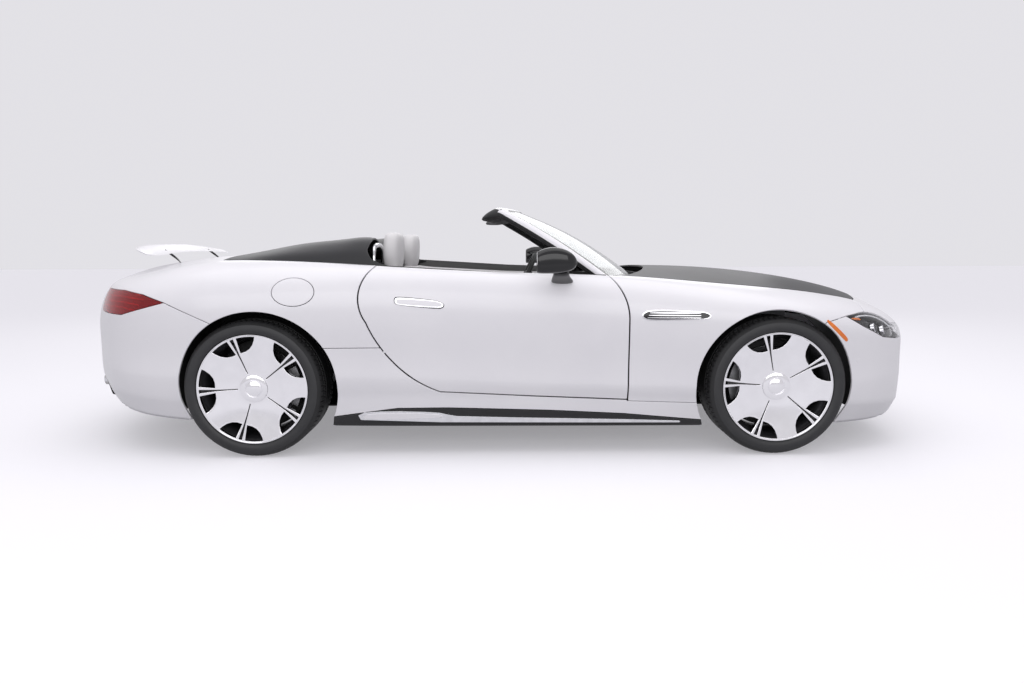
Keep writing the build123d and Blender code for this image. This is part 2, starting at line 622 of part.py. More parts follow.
BOOT_HALF, BOOT_FLOOR_Z, BOOT_REAR_X, BOOT_WALL, BOOT_TOP_Z = 585, 430, -2118, 8, 760
BOOT_FRONT_X = BULKHEAD_X - PANEL_WALL - SEAT
BRIDGE_REAR_X, BRIDGE_FRONT_X, BRIDGE_LOW_Z, BRIDGE_TOP_Z = -1440, -1350, 862, 890
with BuildPart() as boot_tub:
    with BuildSketch(Plane.XY.offset(BOOT_FLOOR_Z)):
        with Locations(((BOOT_FRONT_X + BOOT_REAR_X) / 2, 0)):
            Rectangle(BOOT_FRONT_X - BOOT_REAR_X, 2 * BOOT_HALF)
    extrude(amount=BOOT_TOP_Z - BOOT_FLOOR_Z)
    offset(amount=-BOOT_WALL, openings=boot_tub.faces().sort_by(Axis.Z)[-1])
    # wall between the boot and the folded roof, with the bridge that the two lids hinge on
    with BuildSketch(Plane.YZ.offset(BRIDGE_REAR_X)):
        with Locations((0, (BOOT_FLOOR_Z + BRIDGE_TOP_Z) / 2)):
            Rectangle(2 * BOOT_HALF, BRIDGE_TOP_Z - BOOT_FLOOR_Z)
    extrude(amount=BOOT_WALL)
    with BuildSketch(Plane.XY.offset(BRIDGE_LOW_Z)):
        with Locations(((BRIDGE_REAR_X + BRIDGE_FRONT_X) / 2, 0)):
            Rectangle(BRIDGE_FRONT_X - BRIDGE_REAR_X, 2 * BOOT_HALF)
        for side in (1, -1):
            with Locations(((BRIDGE_REAR_X + LID_PIN_X - 15) / 2, side * LID_HINGE_Y)):
                Rectangle(BRIDGE_REAR_X - LID_PIN_X + 15, 2 * LUG_WALL)
    extrude(amount=BRIDGE_TOP_Z - BRIDGE_LOW_Z)
    for pin_x, pin_z, lug_y in (
        (LID_PIN_X, LID_PIN_Z, LID_HINGE_Y), (COVER_PIN_X, COVER_PIN_Z, COVER_HINGE_Y + SEAT + LUG_WALL / 2),
    ):
        for side in (1, -1):
            with BuildSketch(Plane.XZ.offset(side * lug_y + LUG_WALL / 2)):
                with Locations((pin_x, (pin_z + BRIDGE_TOP_Z) / 2)):
                    Rectangle(2 * BOSS_RADIUS, pin_z - BRIDGE_TOP_Z)
                with Locations((pin_x, pin_z)):
                    Circle(BOSS_RADIUS)
                    Circle(PIN_RADIUS + SEAT, mode=Mode.SUBTRACT)
            extrude(amount=-LUG_WALL)
save(boot_tub, "boot_tub")

WINDSCREEN_TOP_Z = 1300
with BuildPart() as cowl:
    with BuildSketch(Plane.XY.offset(COWL_LOW_Z)):
        with BuildLine():
            ThreePointArc((480, -742), (700, 0), (480, 742))
            Line((480, 742), (BONNET_REAR_X - 30, 735))
            ThreePointArc((BONNET_REAR_X - 30, 735), (886, 0), (BONNET_REAR_X - 30, -735))
            Line((BONNET_REAR_X - 30, -735), (480, -742))
        make_face()
    extrude(amount=COWL_TOP_Z - COWL_LOW_Z)
save(cowl, "cowl")


def windscreen_profile(z, centre_x, side_x, side_y, front, back):
    """A level slice of the curved screen, between two distances behind its outer face."""
    with BuildSketch(Plane.XY.offset(z)) as profile:
        with BuildLine():
            ThreePointArc((side_x - front, -side_y), (centre_x - front, 0), (side_x - front, side_y))
            Line((side_x - front, side_y), (side_x - back, side_y))
            ThreePointArc((side_x - back, side_y), (centre_x - back, 0), (side_x - back, -side_y))
            Line((side_x - back, -side_y), (side_x - front, -side_y))
        make_face()
    return profile.sketch


# z, x of the screen's outer face at its middle and at its sides, half width
SCREEN_FOOT = (COWL_TOP_Z, 845, 600, 765)
SCREEN_HEAD = (WINDSCREEN_TOP_Z, 110, -5, 545)


def screen_slice(z, narrower, front, back):
    """The screen's level slice at any height, between the foot and the head."""
    share = (z - SCREEN_FOOT[0]) / (SCREEN_HEAD[0] - SCREEN_FOOT[0])
    centre_x, side_x, side_y = (low + share * (high - low) for low, high in zip(SCREEN_FOOT[1:], SCREEN_HEAD[1:]))
    return windscreen_profile(z, centre_x, side_x, side_y - narrower, front, back)


GLASS = 5
FRAME_DEPTH = 85        # measured level, so the pillar is about half as deep square to the glass
PILLAR = 62
HEADER = 60
with BuildPart() as windscreen_frame:
    loft(sections=[screen_slice(COWL_TOP_Z + SEAT, 0, 0, FRAME_DEPTH), screen_slice(WINDSCREEN_TOP_Z, 0, 0, FRAME_DEPTH)], ruled=True)
    loft(
        sections=[screen_slice(890, PILLAR, -200, 300), screen_slice(WINDSCREEN_TOP_Z - HEADER / 2, PILLAR, -200, 300)],
        ruled=True, mode=Mode.SUBTRACT,
    )
    # recess that the glass is bonded into
    loft(
        sections=[screen_slice(890, PILLAR / 2 - 1, -50, GLASS * 2 + 1), screen_slice(WINDSCREEN_TOP_Z - 14, PILLAR / 2 - 1, -50, GLASS * 2 + 1)],
        ruled=True, mode=Mode.SUBTRACT,
    )
save(windscreen_frame, "windscreen_frame")
with BuildPart() as windscreen_glass:
    loft(sections=[screen_slice(902, PILLAR / 2, 0, GLASS * 2), screen_slice(WINDSCREEN_TOP_Z - 16, PILLAR / 2, 0, GLASS * 2)], ruled=True)
save(windscreen_glass, "windscreen_glass")

DASH_HALF = 700
COLUMN_TILT = 25
WHEEL_CENTRE = (190, 365, 868)
column_direction = (cos(radians(COLUMN_TILT)), 0, -sin(radians(COLUMN_TILT)))
with BuildPart() as dashboard:
    with BuildSketch(Plane.XZ.offset(-DASH_HALF)):
        with BuildLine():
            Polyline(
                (FIREWALL_X - SEAT, 560), (FIREWALL_X - SEAT, COWL_LOW_Z - SEAT), (560, COWL_LOW_Z - SEAT), (330, 850),
                (300, 800), (330, 640), (420, 560), close=True,
            )
        make_face()
    extrude(amount=2 * DASH_HALF)
    with BuildSketch(Plane(origin=WHEEL_CENTRE, z_dir=column_direction).offset(60)):
        Circle(38)
    extrude(amount=140)
save(dashboard, "dashboard")

with BuildPart() as steering_wheel:
    with BuildSketch(Plane(origin=WHEEL_CENTRE, x_dir=(0, 1, 0), z_dir=column_direction)):
        Circle(187)
        Circle(160, mode=Mode.SUBTRACT)
        Rectangle(330, 42)
        with Locations((0, -80)):
            Rectangle(60, 165)
        Circle(70)
    extrude(amount=14, both=True)
    with BuildSketch(Plane(origin=WHEEL_CENTRE, z_dir=column_direction)):
        Circle(30)
    extrude(amount=60 - SEAT)
save(steering_wheel, "steering_wheel")

with BuildPart() as centre_console:
    with BuildSketch(Plane.XZ.offset(-115)):
        with BuildLine():
            Polyline(
                (-700, TUNNEL_TOP_Z + SEAT), (320, TUNNEL_TOP_Z + SEAT), (320, 650), (290, 690), (60, 560), (-250, 520),
                (-700, 540), close=True,
            )
        make_face()
    extrude(amount=230)
save(centre_console, "centre_console")

SEAT_Y, SEAT_WIDTH = 372, 480
SEAT_FOOT_Z = FLOOR_Z + FLOOR_WALL + SEAT
with BuildPart() as seat_right:
    with BuildSketch(Plane.XZ.offset(SEAT_Y - SEAT_WIDTH / 2)):
        with BuildLine():
            Polyline(
                (150, SEAT_FOOT_Z), (150, 430), (100, 475), (-330, 425), (-440, 640), (-540, 960), (-640, 960),
                (-560, SEAT_FOOT_Z), close=True,
            )
        make_face()
    extrude(amount=SEAT_WIDTH)
    with BuildSketch(Plane.XZ.offset(SEAT_Y - 135)):
        with BuildLine():
            Polyline((-520, 940), (-525, 1130), (-560, 1160), (-620, 1160), (-650, 1120), (-630, 940), close=True)
        make_face()
    extrude(amount=270)
save(seat_right, "seat_right")
with BuildPart() as seat_left:
    add(mirror(seat_right.part, about=Plane.XZ, mode=Mode.PRIVATE))
save(seat_left, "seat_left")

# ---- engine, subframes, knuckles, wheels -------------------------------------------------------------
FRAME_HALF, RAIL_INNER_Y, RAIL_OUTER_Y = 400, 320, 380
RAIL_LOW_Z, RAIL_TOP_Z = 400, 470
RAIL_FRONT_X = 2060
with BuildPart() as engine:
    with Locations((1350, 0, 530)):
        Box(760, 560, 520)
    # mounts that reach the rails
    with Locations((1350, 0, (RAIL_LOW_Z + RAIL_TOP_Z) / 2)):
        Box(90, 2 * (RAIL_INNER_Y - SEAT), 40)
save(engine, "engine")

BRAKE_Y = 781
DISC_RADIUS, DISC_WALL = 195, 32
SHAFT_RADIUS, SHAFT_END_Y = 22, 700
BEARING_PLAY = 0.05
HOUSING_RADIUS, HOUSING_INNER_Y, HOUSING_OUTER_Y = 55, 691, 752
STEER_Y = 735
ARM_LOW_Z, ARM_TOP_Z = 160, 190
FRONT_SPOKE_ANGLE, REAR_SPOKE_ANGLE = 31, 38
WINDOW_INNER_RADIUS, WINDOW_OUTER_RADIUS = 178, 250
# where a tyre's flank is widest, and how far its tread's edge lies inside the flank
FLANK_RADIUS, TREAD_EDGE = 320, 54


def polar(radius, angle):
    return (radius * cos(radians(angle)), radius * sin(radians(angle)))


def tyre_solid(width):
    """A low tyre for the left side, about an axle at the origin, revolved from straight flanks and shoulders."""
    inner_y = TYRE_SIDE_Y - width
    with BuildPart() as tyre:
        with BuildSketch():
            with BuildLine():
                Polyline(
                    (BEAD_RADIUS, inner_y + 18), (FLANK_RADIUS, inner_y), (TYRE_RADIUS, inner_y + TREAD_EDGE),
                    (TYRE_RADIUS, TYRE_SIDE_Y - TREAD_EDGE), (FLANK_RADIUS, TYRE_SIDE_Y), (BEAD_RADIUS, TYRE_SIDE_Y - 18),
                    close=True,
                )
            make_face()
        revolve(axis=Axis.Y)
    return tyre.part


def rim_solid(width, spoke_angle):
    """Rim, dished face with five pairs of windows, brake disc and hub shaft, turning as one."""
    inner_y, outer_y = TYRE_SIDE_Y - width + 18, TYRE_SIDE_Y - 18
    disc_inner_y, disc_outer_y = BRAKE_Y - DISC_WALL / 2, BRAKE_Y + DISC_WALL / 2
    with BuildPart() as rim:
        with BuildSketch():
            with BuildLine():
                Polyline(
                    (0, SHAFT_END_Y), (SHAFT_RADIUS, SHAFT_END_Y), (SHAFT_RADIUS, disc_inner_y), (DISC_RADIUS, disc_inner_y),
                    (DISC_RADIUS, disc_outer_y), (85, disc_outer_y), (85, outer_y - 45), (BARREL_RADIUS, outer_y - 40),
                    (BARREL_RADIUS, inner_y), (BEAD_RADIUS, inner_y), (BEAD_RADIUS, outer_y), (RIM_RADIUS, outer_y + 6.5),
                    (RIM_RADIUS - 5, outer_y + 12), (BARREL_RADIUS + 4, outer_y - 8), (0, outer_y - 22), close=True,
                )
            make_face()
        revolve(axis=Axis.Y)
        with BuildSketch(Plane.XZ.offset(50 - outer_y)):
            for angle in range(spoke_angle, spoke_angle + 360, 72):
                for flank in (-1, 1):
                    near, outer, far = angle + flank * 6.5, angle + flank * 5, angle + flank * 24
                    with BuildLine():
                        Polyline(
                            polar(WINDOW_INNER_RADIUS, near), polar(WINDOW_OUTER_RADIUS, outer),
                            polar(WINDOW_OUTER_RADIUS, angle + flank * 14), polar(WINDOW_OUTER_RADIUS, far),
                            polar(WINDOW_INNER_RADIUS + 12, angle + flank * 18), close=True,
                        )
                    make_face()
        extrude(amount=-100, mode=Mode.SUBTRACT)
    return rim.part


def ring_sector(y, inner_radius, outer_radius, start, end):
    """A sketch of part of a ring about the wheel's centre line, on a plane facing right."""
    with BuildSketch(Plane.XZ.offset(-y)) as sector:
        with BuildLine():
            middle = (start + end) / 2
            ThreePointArc(polar(outer_radius, start), polar(outer_radius, middle), polar(outer_radius, end))
            Line(polar(outer_radius, end), polar(inner_radius, end))
            ThreePointArc(polar(inner_radius, end), polar(inner_radius, middle), polar(inner_radius, start))
            Line(polar(inner_radius, start), polar(outer_radius, start))
        make_face()
    return sector.sketch


def knuckle_solid(caliper_angle, steered):
    """Bearing housing, upright and brake caliper of a left wheel, about an axle at the origin."""
    with BuildPart() as knuckle:
        with BuildSketch(Plane.XZ.offset(-HOUSING_INNER_Y)):
            Circle(HOUSING_RADIUS)
        extrude(amount=HOUSING_INNER_Y - HOUSING_OUTER_Y)
        with BuildSketch(Plane.XZ.offset(-700)):
            with Locations((0, (200 + ARM_TOP_Z + SEAT - WHEEL_Z) / 2)):
                Rectangle(64, 200 - (ARM_TOP_Z + SEAT - WHEEL_Z))
            if steered:
                with Locations((-70, -95)):
                    Rectangle(140, 28)
        extrude(amount=-42)
        # caliper, bridging the disc
        extrude(ring_sector(HOUSING_INNER_Y + 40, 30, 225, caliper_angle - 16, caliper_angle + 16), amount=-18)
        extrude(ring_sector(HOUSING_INNER_Y + 40, 120, 228, caliper_angle - 28, caliper_angle + 28), amount=-110)
        with BuildSketch(Plane.XZ.offset(-(BRAKE_Y - DISC_WALL / 2 - 4))):
            Circle(DISC_RADIUS + 5)
        extrude(amount=-(DISC_WALL + 8), mode=Mode.SUBTRACT)
        with BuildSketch(Plane.XZ.offset(-HOUSING_INNER_Y + 20)):
            Circle(SHAFT_RADIUS + BEARING_PLAY)
        extrude(amount=-150, mode=Mode.SUBTRACT)
    return knuckle.part


AXLES = (
    ("front", FRONT_AXLE_X, FRONT_TYRE_WIDTH, FRONT_SPOKE_ANGLE),
    ("rear", REAR_AXLE_X, REAR_TYRE_WIDTH, REAR_SPOKE_ANGLE),
)
for end, axle_x, tyre_width, spoke_angle in AXLES:
    place = Location((axle_x, 0, WHEEL_Z))
    left_tyre = tyre_solid(tyre_width).moved(place)
    left_rim = rim_solid(tyre_width, spoke_angle).moved(place)
    for solid, kind in ((left_tyre, "tyre"), (left_rim, "rim")):
        with BuildPart() as left_piece:
            add(solid)
        save(left_piece, f"{kind}_{end}_left")
        with BuildPart() as right_piece:
            add(mirror(solid, about=Plane.XZ, mode=Mode.PRIVATE))
        save(right_piece, f"{kind}_{end}_right")

front_knuckle = knuckle_solid(180, True).moved(Location((FRONT_AXLE_X, 0, WHEEL_Z)))
with BuildPart() as knuckle_front_left:
    add(front_knuckle)
save(knuckle_front_left, "knuckle_front_left")
with BuildPart() as knuckle_front_right:
    add(mirror(front_knuckle, about=Plane.XZ, mode=Mode.PRIVATE))
save(knuckle_front_right, "knuckle_front_right")
with BuildPart() as rear_knuckles:
    add(knuckle_solid(0, False).moved(Location((REAR_AXLE_X, 0, WHEEL_Z))))
    mirror(about=Plane.XZ)
save(rear_knuckles, "rear_knuckles")


def arm_outline(axle_x, inner_y, spread):
    """A wishbone seen from above, from its ball joint to its two bushes, on the left."""
    with BuildSketch(Plane.XY.offset(ARM_LOW_Z)) as arm:
        with BuildLine():
            Polyline(
                (axle_x - 22, STEER_Y + 20), (axle_x + 22, STEER_Y + 20), (axle_x + spread + 25, inner_y),
                (axle_x + spread - 35, inner_y), (axle_x, STEER_Y - 70), (axle_x - spread + 35, inner_y),
                (axle_x - spread - 25, inner_y), close=True,
            )
        make_face()
    return arm.sketch


RACK_X, RACK_Z = 1310, 238
with BuildPart() as front_frame:
    with Locations((FRONT_AXLE_X, 0, 190)):
        Box(340, 2 * FRAME_HALF, 50)
    extrude(arm_outline(FRONT_AXLE_X, FRAME_HALF - 10, 130), amount=ARM_TOP_Z - ARM_LOW_Z)
    with BuildSketch(Plane.XY.offset(200)):
        with Locations((FRONT_AXLE_X, (RAIL_INNER_Y + RAIL_OUTER_Y) / 2)):
            Rectangle(120, RAIL_OUTER_Y - RAIL_INNER_Y)
    extrude(amount=RAIL_LOW_Z - 190)
    with BuildSketch(Plane.XY.offset(RAIL_LOW_Z)):
        with Locations(((FIREWALL_X + PANEL_WALL + SEAT + RAIL_FRONT_X) / 2, (RAIL_INNER_Y + RAIL_OUTER_Y) / 2)):
            Rectangle(RAIL_FRONT_X - FIREWALL_X - PANEL_WALL - SEAT, RAIL_OUTER_Y - RAIL_INNER_Y)
    extrude(amount=RAIL_TOP_Z - RAIL_LOW_Z)
    with BuildSketch(Plane.XZ.offset(-300)):
        with Locations((RACK_X, RACK_Z)):
            Circle(24)
    extrude(amount=-130)
    with BuildSketch(Plane.XZ.offset(-420)):
        with Locations((RACK_X, RACK_Z)):
            Circle(9)
    extrude(amount=-170)
    mirror(about=Plane.XZ)
    with Locations((RAIL_FRONT_X + 25, 0, (RAIL_LOW_Z + RAIL_TOP_Z) / 2)):
        Box(50, 2 * RAIL_OUTER_Y + 60, RAIL_TOP_Z - RAIL_LOW_Z)
    with Locations((RACK_X, 0, RACK_Z)):
        Box(40, 700, 30)
save(front_frame, "front_frame")

with BuildPart() as rear_frame:
    with Locations((REAR_AXLE_X, 0, 215)):
        Box(300, 2 * FRAME_HALF, 60)
    with Locations((REAR_AXLE_X, 0, 330)):
        Box(220, 260, 190)
    extrude(arm_outline(REAR_AXLE_X, FRAME_HALF - 10, 120), amount=ARM_TOP_Z - ARM_LOW_Z)
    with BuildSketch(Plane.XZ.offset(-100)):
        with Locations((REAR_AXLE_X, WHEEL_Z)):
            Circle(16)
    extrude(amount=-(HOUSING_INNER_Y - 100 - SEAT))
    with BuildSketch(Plane.XY.offset(185)):
        with Locations((REAR_AXLE_X, 370)):
            Rectangle(110, 60)
    extrude(amount=BOOT_FLOOR_Z - SEAT - 185)
    mirror(about=Plane.XZ)
save(rear_frame, "rear_frame")

with BuildPart() as wheel_liners:
    for axle_x in (FRONT_AXLE_X - 8, REAR_ARCH_X):
        for y, side in ((600, 1), (-600, -1)):
            with BuildSketch(Plane.XZ.offset(-y)):
                with Locations((axle_x, WHEEL_Z)):
                    Circle(LINER_RADIUS + LINER_WALL)
                    Circle(LINER_RADIUS, mode=Mode.SUBTRACT)
            extrude(amount=-330 * side)
    loft(sections=[body_section(station, SKIN + SEAT) for station in BODY_STATIONS], ruled=True, mode=Mode.INTERSECT)
    with BuildSketch():
        Rectangle(5000, 2000)
    extrude(amount=240, mode=Mode.SUBTRACT)
save(wheel_liners, "wheel_liners")

UNDERTRAY_WALL = 8
UNDERTRAY_Z = ARM_LOW_Z - SEAT - UNDERTRAY_WALL
with BuildPart() as undertrays:
    for front_x, rear_x in (
        (1730, FIREWALL_X + PANEL_WALL + SEAT), (BULKHEAD_X - PANEL_WALL - SEAT, DIFFUSER_FRONT_X + 10),
    ):
        with BuildSketch(Plane.XY.offset(UNDERTRAY_Z)):
            with Locations(((front_x + rear_x) / 2, 0)):
                Rectangle(front_x - rear_x, 2 * FRAME_HALF)
        extrude(amount=UNDERTRAY_WALL)
save(undertrays, "undertrays")

SILENCER_LOW_Z = 275
with BuildPart() as exhaust:
    with Locations((-1950, 0, (SILENCER_LOW_Z + BOOT_FLOOR_Z - SEAT) / 2)):
        Box(240, 820, BOOT_FLOOR_Z - SEAT - SILENCER_LOW_Z)
    for y in (TIP_Y - TIP_PITCH / 2, TIP_Y + TIP_PITCH / 2):
        for side in (1, -1):
            with BuildSketch(Plane.YZ.offset(TIP_END_X)):
                with Locations((side * y, TIP_Z)):
                    RectangleRounded(92, 62, 20)
            extrude(amount=240)
            with BuildSketch(Plane.YZ.offset(TIP_END_X)):
                with Locations((side * y, TIP_Z)):
                    RectangleRounded(84, 54, 16)
            extrude(amount=60, mode=Mode.SUBTRACT)
save(exhaust, "exhaust")

# ---- soft top stack, its lid, hoops, mirrors, spoiler, wipers ------------------------------------------
with BuildPart() as folded_roof:
    with BuildSketch(Plane.XZ.offset(-540)):
        with BuildLine():
            Polyline(
                (-1320, 790), (BOOT_FRONT_X, 800), (BOOT_FRONT_X, 930), (-1000, 975), (-1280, 965), (-1330, 900), close=True,
            )
        make_face()
    extrude(amount=1080)
save(folded_roof, "folded_roof")

# x, half width, edge z, shoulder z, hump z, valley z
COVER_STATIONS = [
    (COVER_REAR_X, 640, 1006, 1018, 1034, 1034),
    (-1300, 722, 1010, 1034, 1066, 1058),
    (-1100, 748, 1004, 1050, 1104, 1070),
    (-850, 762, 992, 1050, 1129, 1066),
    (-690, 768, 984, 1046, 1133, 1060),
    (COVER_FRONT_X, 770, 974, 1000, 1040, 1030),
]
HUMP_Y = 370
COVER_WALL = 22


def cover_section(station, drop):
    x, half, edge_z, shoulder_z, hump_z, valley_z = station
    half -= drop
    with BuildSketch(Plane(origin=(x, 0, 0), x_dir=(0, 1, 0), z_dir=(1, 0, 0))) as section:
        with BuildLine():
            Polyline(
                (-half, edge_z - 200), (-half, edge_z - drop), (-half + 50, shoulder_z - drop), (-HUMP_Y - 90, hump_z - 16 - drop),
                (-HUMP_Y, hump_z - drop), (-HUMP_Y + 110, hump_z - 10 - drop), (-120, valley_z - drop), (120, valley_z - drop),
                (HUMP_Y - 110, hump_z - 10 - drop), (HUMP_Y, hump_z - drop), (HUMP_Y + 90, hump_z - 16 - drop),
                (half - 50, shoulder_z - drop), (half, edge_z - drop), (half, edge_z - 200), close=True,
            )
        make_face()
    return section.sketch


with BuildPart() as top_cover:
    loft(sections=[cover_section(station, 0) for station in COVER_STATIONS], ruled=True)
    loft(sections=[cover_section(station, COVER_WALL) for station in COVER_STATIONS], ruled=True, mode=Mode.SUBTRACT)
    # keep what lies above the body, cut the front slanting back from the belt
    with BuildSketch(Plane.XZ.offset(-1000)):
        with BuildLine():
            Polyline(
                (COVER_REAR_X - 50, 984), (-1200, 982), (-850, 970), (COVER_FRONT_X, 952), (-668, 1040), (-690, 1300),
                (COVER_REAR_X - 50, 1300), close=True,
            )
        make_face()
    extrude(amount=2000, mode=Mode.INTERSECT)
    with BuildSketch():
        with Locations((-690 + 250, 0)):
            Rectangle(500, 2 * 640)
    extrude(amount=2000, mode=Mode.SUBTRACT)
    for side in (1, -1):
        with BuildSketch(Plane.XZ.offset(side * (COVER_HINGE_Y - LUG_WALL / 2) + LUG_WALL / 2)):
            with Locations((COVER_PIN_X, COVER_PIN_Z + 11)):
                Rectangle(4 * BOSS_RADIUS, 22)
            with Locations((COVER_PIN_X, COVER_PIN_Z)):
                Circle(BOSS_RADIUS)
        extrude(amount=-LUG_WALL)
        with BuildSketch(Plane.XZ.offset(side * COVER_HINGE_Y + LUG_WALL)):
            with Locations((COVER_PIN_X, COVER_PIN_Z)):
                Circle(PIN_RADIUS)
        extrude(amount=-2 * LUG_WALL)
save(top_cover, "top_cover")

HOOP_REAR_X, HOOP_WIDTH, HOOP_HEIGHT = -686, 330, 195
with BuildPart() as roll_hoops:
    for y in (SEAT_Y, -SEAT_Y):
        with BuildSketch(Plane.YZ.offset(HOOP_REAR_X)):
            with Locations((y, SHELF_TOP_Z + SEAT + HOOP_HEIGHT / 2)):
                RectangleRounded(HOOP_WIDTH, HOOP_HEIGHT, 60)
                RectangleRounded(HOOP_WIDTH - 60, HOOP_HEIGHT - 60, 40, mode=Mode.SUBTRACT)
        extrude(amount=24)
save(roll_hoops, "roll_hoops")

with BuildPart() as mirror_right:
    with BuildSketch(Plane.XZ.offset(945)):
        with BuildLine():
            Polyline((214, 965), (222, 1068), (300, 1078), (375, 1058), (412, 1010), (400, 968), (330, 952), (230, 953), close=True)
        make_face()
    extrude(amount=120)
    # the foot stands on the door's shoulder
    with BuildSketch(Plane.XZ.offset(835)):
        with BuildLine():
            Polyline((290, 870), (285, 912), (310, 956), (395, 975), (398, 870), close=True)
        make_face()
    extrude(amount=125)
    loft(sections=[body_section(station, -SEAT) for station in BODY_STATIONS[8:10]], ruled=True, mode=Mode.SUBTRACT)
save(mirror_right, "mirror_right")
with BuildPart() as mirror_left:
    add(mirror(mirror_right.part, about=Plane.XZ, mode=Mode.PRIVATE))
save(mirror_left, "mirror_left")

# the aerofoil stands raised and tilted over the lid's edge, on two struts
with BuildPart() as rear_spoiler:
    with BuildSketch(Plane.XZ.offset(-575)):
        with BuildLine():
            Polyline((-1865, 1048), (-1880, 1060), (-2050, 1105), (-2052, 1096), (-1890, 1042), close=True)
        make_face()
    extrude(amount=1150)
    for y in (-STRUT_Y, STRUT_Y):
        with BuildSketch(Plane.XZ.offset(y - STRUT_WALL / 2)):
            with BuildLine():
                Polyline((-1850, 975), (-1832, 980), (-1872, 1055), (-1930, 1062), close=True)
            make_face()
        extrude(amount=STRUT_WALL)
        with BuildSketch(Plane.XZ.offset(y - STRUT_WALL / 2 - STRUT_PLAY + SEAT)):
            with Locations(SPOILER_PIVOT):
                Circle(PIVOT_RADIUS)
        extrude(amount=STRUT_WALL + 2 * STRUT_PLAY - 2 * SEAT)
save(rear_spoiler, "rear_spoiler")

WIPER_SPANS = ((-560, -70), (-40, 430))
with BuildPart() as wipers:
    for low_y, high_y in WIPER_SPANS:
        with BuildSketch(Plane.XY.offset(COWL_TOP_Z + SEAT)):
            add(windscreen_profile(0, *SCREEN_FOOT[1:], -24, -8))
            with Locations((700, (low_y + high_y) / 2)):
                Rectangle(600, high_y - low_y, mode=Mode.INTERSECT)
        extrude(amount=18)
save(wipers, "wipers")
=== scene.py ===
import json
import math
import bpy
import bmesh
import numpy as np
from mathutils import Matrix, Vector
from mathutils.geometry import delaunay_2d_cdt

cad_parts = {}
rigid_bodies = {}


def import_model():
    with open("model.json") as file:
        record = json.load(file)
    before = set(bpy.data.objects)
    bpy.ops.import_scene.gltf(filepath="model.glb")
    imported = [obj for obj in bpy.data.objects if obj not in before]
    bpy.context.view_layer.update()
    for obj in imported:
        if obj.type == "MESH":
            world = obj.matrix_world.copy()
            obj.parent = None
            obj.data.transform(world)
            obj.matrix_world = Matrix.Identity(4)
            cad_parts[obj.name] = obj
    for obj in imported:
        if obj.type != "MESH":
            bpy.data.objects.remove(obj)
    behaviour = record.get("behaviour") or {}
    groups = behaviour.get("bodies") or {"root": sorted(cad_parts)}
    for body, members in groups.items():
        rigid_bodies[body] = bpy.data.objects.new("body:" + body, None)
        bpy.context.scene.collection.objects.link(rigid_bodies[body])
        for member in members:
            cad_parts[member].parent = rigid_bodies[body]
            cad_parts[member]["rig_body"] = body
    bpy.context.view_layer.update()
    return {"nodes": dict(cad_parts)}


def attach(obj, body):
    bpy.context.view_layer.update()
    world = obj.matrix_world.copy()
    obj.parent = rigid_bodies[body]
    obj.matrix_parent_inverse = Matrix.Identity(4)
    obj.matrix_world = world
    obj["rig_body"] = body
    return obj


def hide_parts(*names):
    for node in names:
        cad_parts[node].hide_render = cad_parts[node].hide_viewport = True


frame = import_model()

# ---- camera, floor and studio light ------------------------------------------
# The car stands on a wide pale floor under two soft overhead boxes. The camera is at hip height,
# level with the middle of the car.
scene = bpy.context.scene
scene.view_settings.view_transform = "Standard"

camera_data = bpy.data.cameras.new("camera")
camera_data.sensor_width = 36
camera_data.lens = 24.94
camera_data.clip_end = 200
camera = bpy.data.objects.new("camera", camera_data)
scene.collection.objects.link(camera)
right, up, ahead = (0.99996, -0.00807, -0.00347), (0.00452, 0.13466, 0.99089), (0.00753, 0.99086, -0.13469)
place = (0.0639, -4.5009, 1.0871)
camera.matrix_world = Matrix([(right[i], up[i], -ahead[i], place[i]) for i in range(3)] + [(0, 0, 0, 1)])
scene.camera = camera

# the camera, mirrors and glass see a near white floor, while its diffuse bounce stays dim
floor_material = bpy.data.materials.new("studio floor")
floor_material.use_nodes = True
tree = floor_material.node_tree
shader = tree.nodes["Principled BSDF"]
shader.inputs["Roughness"].default_value = 0.9
path = tree.nodes.new("ShaderNodeLightPath")
seen, straight, glow = (tree.nodes.new("ShaderNodeMath") for _ in range(3))
seen.operation, straight.operation, glow.operation = "MAXIMUM", "MULTIPLY", "MULTIPLY_ADD"
straight.inputs[1].default_value, glow.inputs[1].default_value = 0.30, 0.42
tint = tree.nodes.new("ShaderNodeMix")
tint.data_type = "RGBA"
tint.inputs["A"].default_value, tint.inputs["B"].default_value = (0.30, 0.30, 0.32, 1), (0.70, 0.69, 0.72, 1)
shader.inputs["Emission Color"].default_value = (0.97, 0.96, 1.0, 1)
for source, target in (
    (path.outputs["Is Camera Ray"], seen.inputs[0]), (path.outputs["Is Transmission Ray"], seen.inputs[1]),
    (seen.outputs[0], tint.inputs["Factor"]), (tint.outputs["Result"], shader.inputs["Base Color"]),
    (path.outputs["Is Camera Ray"], straight.inputs[0]), (path.outputs["Is Glossy Ray"], glow.inputs[0]),
    (straight.outputs[0], glow.inputs[2]), (glow.outputs[0], shader.inputs["Emission Strength"]),
):
    tree.links.new(source, target)

bpy.ops.object.select_all(action="DESELECT")
bpy.ops.mesh.primitive_plane_add(size=60, location=(0, 0, 0))
floor = bpy.context.object
floor.name = "studio_floor"
floor.data.materials.append(floor_material)

world = bpy.data.worlds.new("studio")
scene.world = world
world.use_nodes = True
sky = world.node_tree
background = sky.nodes["Background"]
path, strength = sky.nodes.new("ShaderNodeLightPath"), sky.nodes.new("ShaderNodeMix")
background.inputs["Color"].default_value = (0.86, 0.85, 0.89, 1)
strength.inputs["A"].default_value, strength.inputs["B"].default_value = 0.80, 0.89
sky.links.new(path.outputs["Is Camera Ray"], strength.inputs["Factor"])
sky.links.new(strength.outputs["Result"], background.inputs["Strength"])

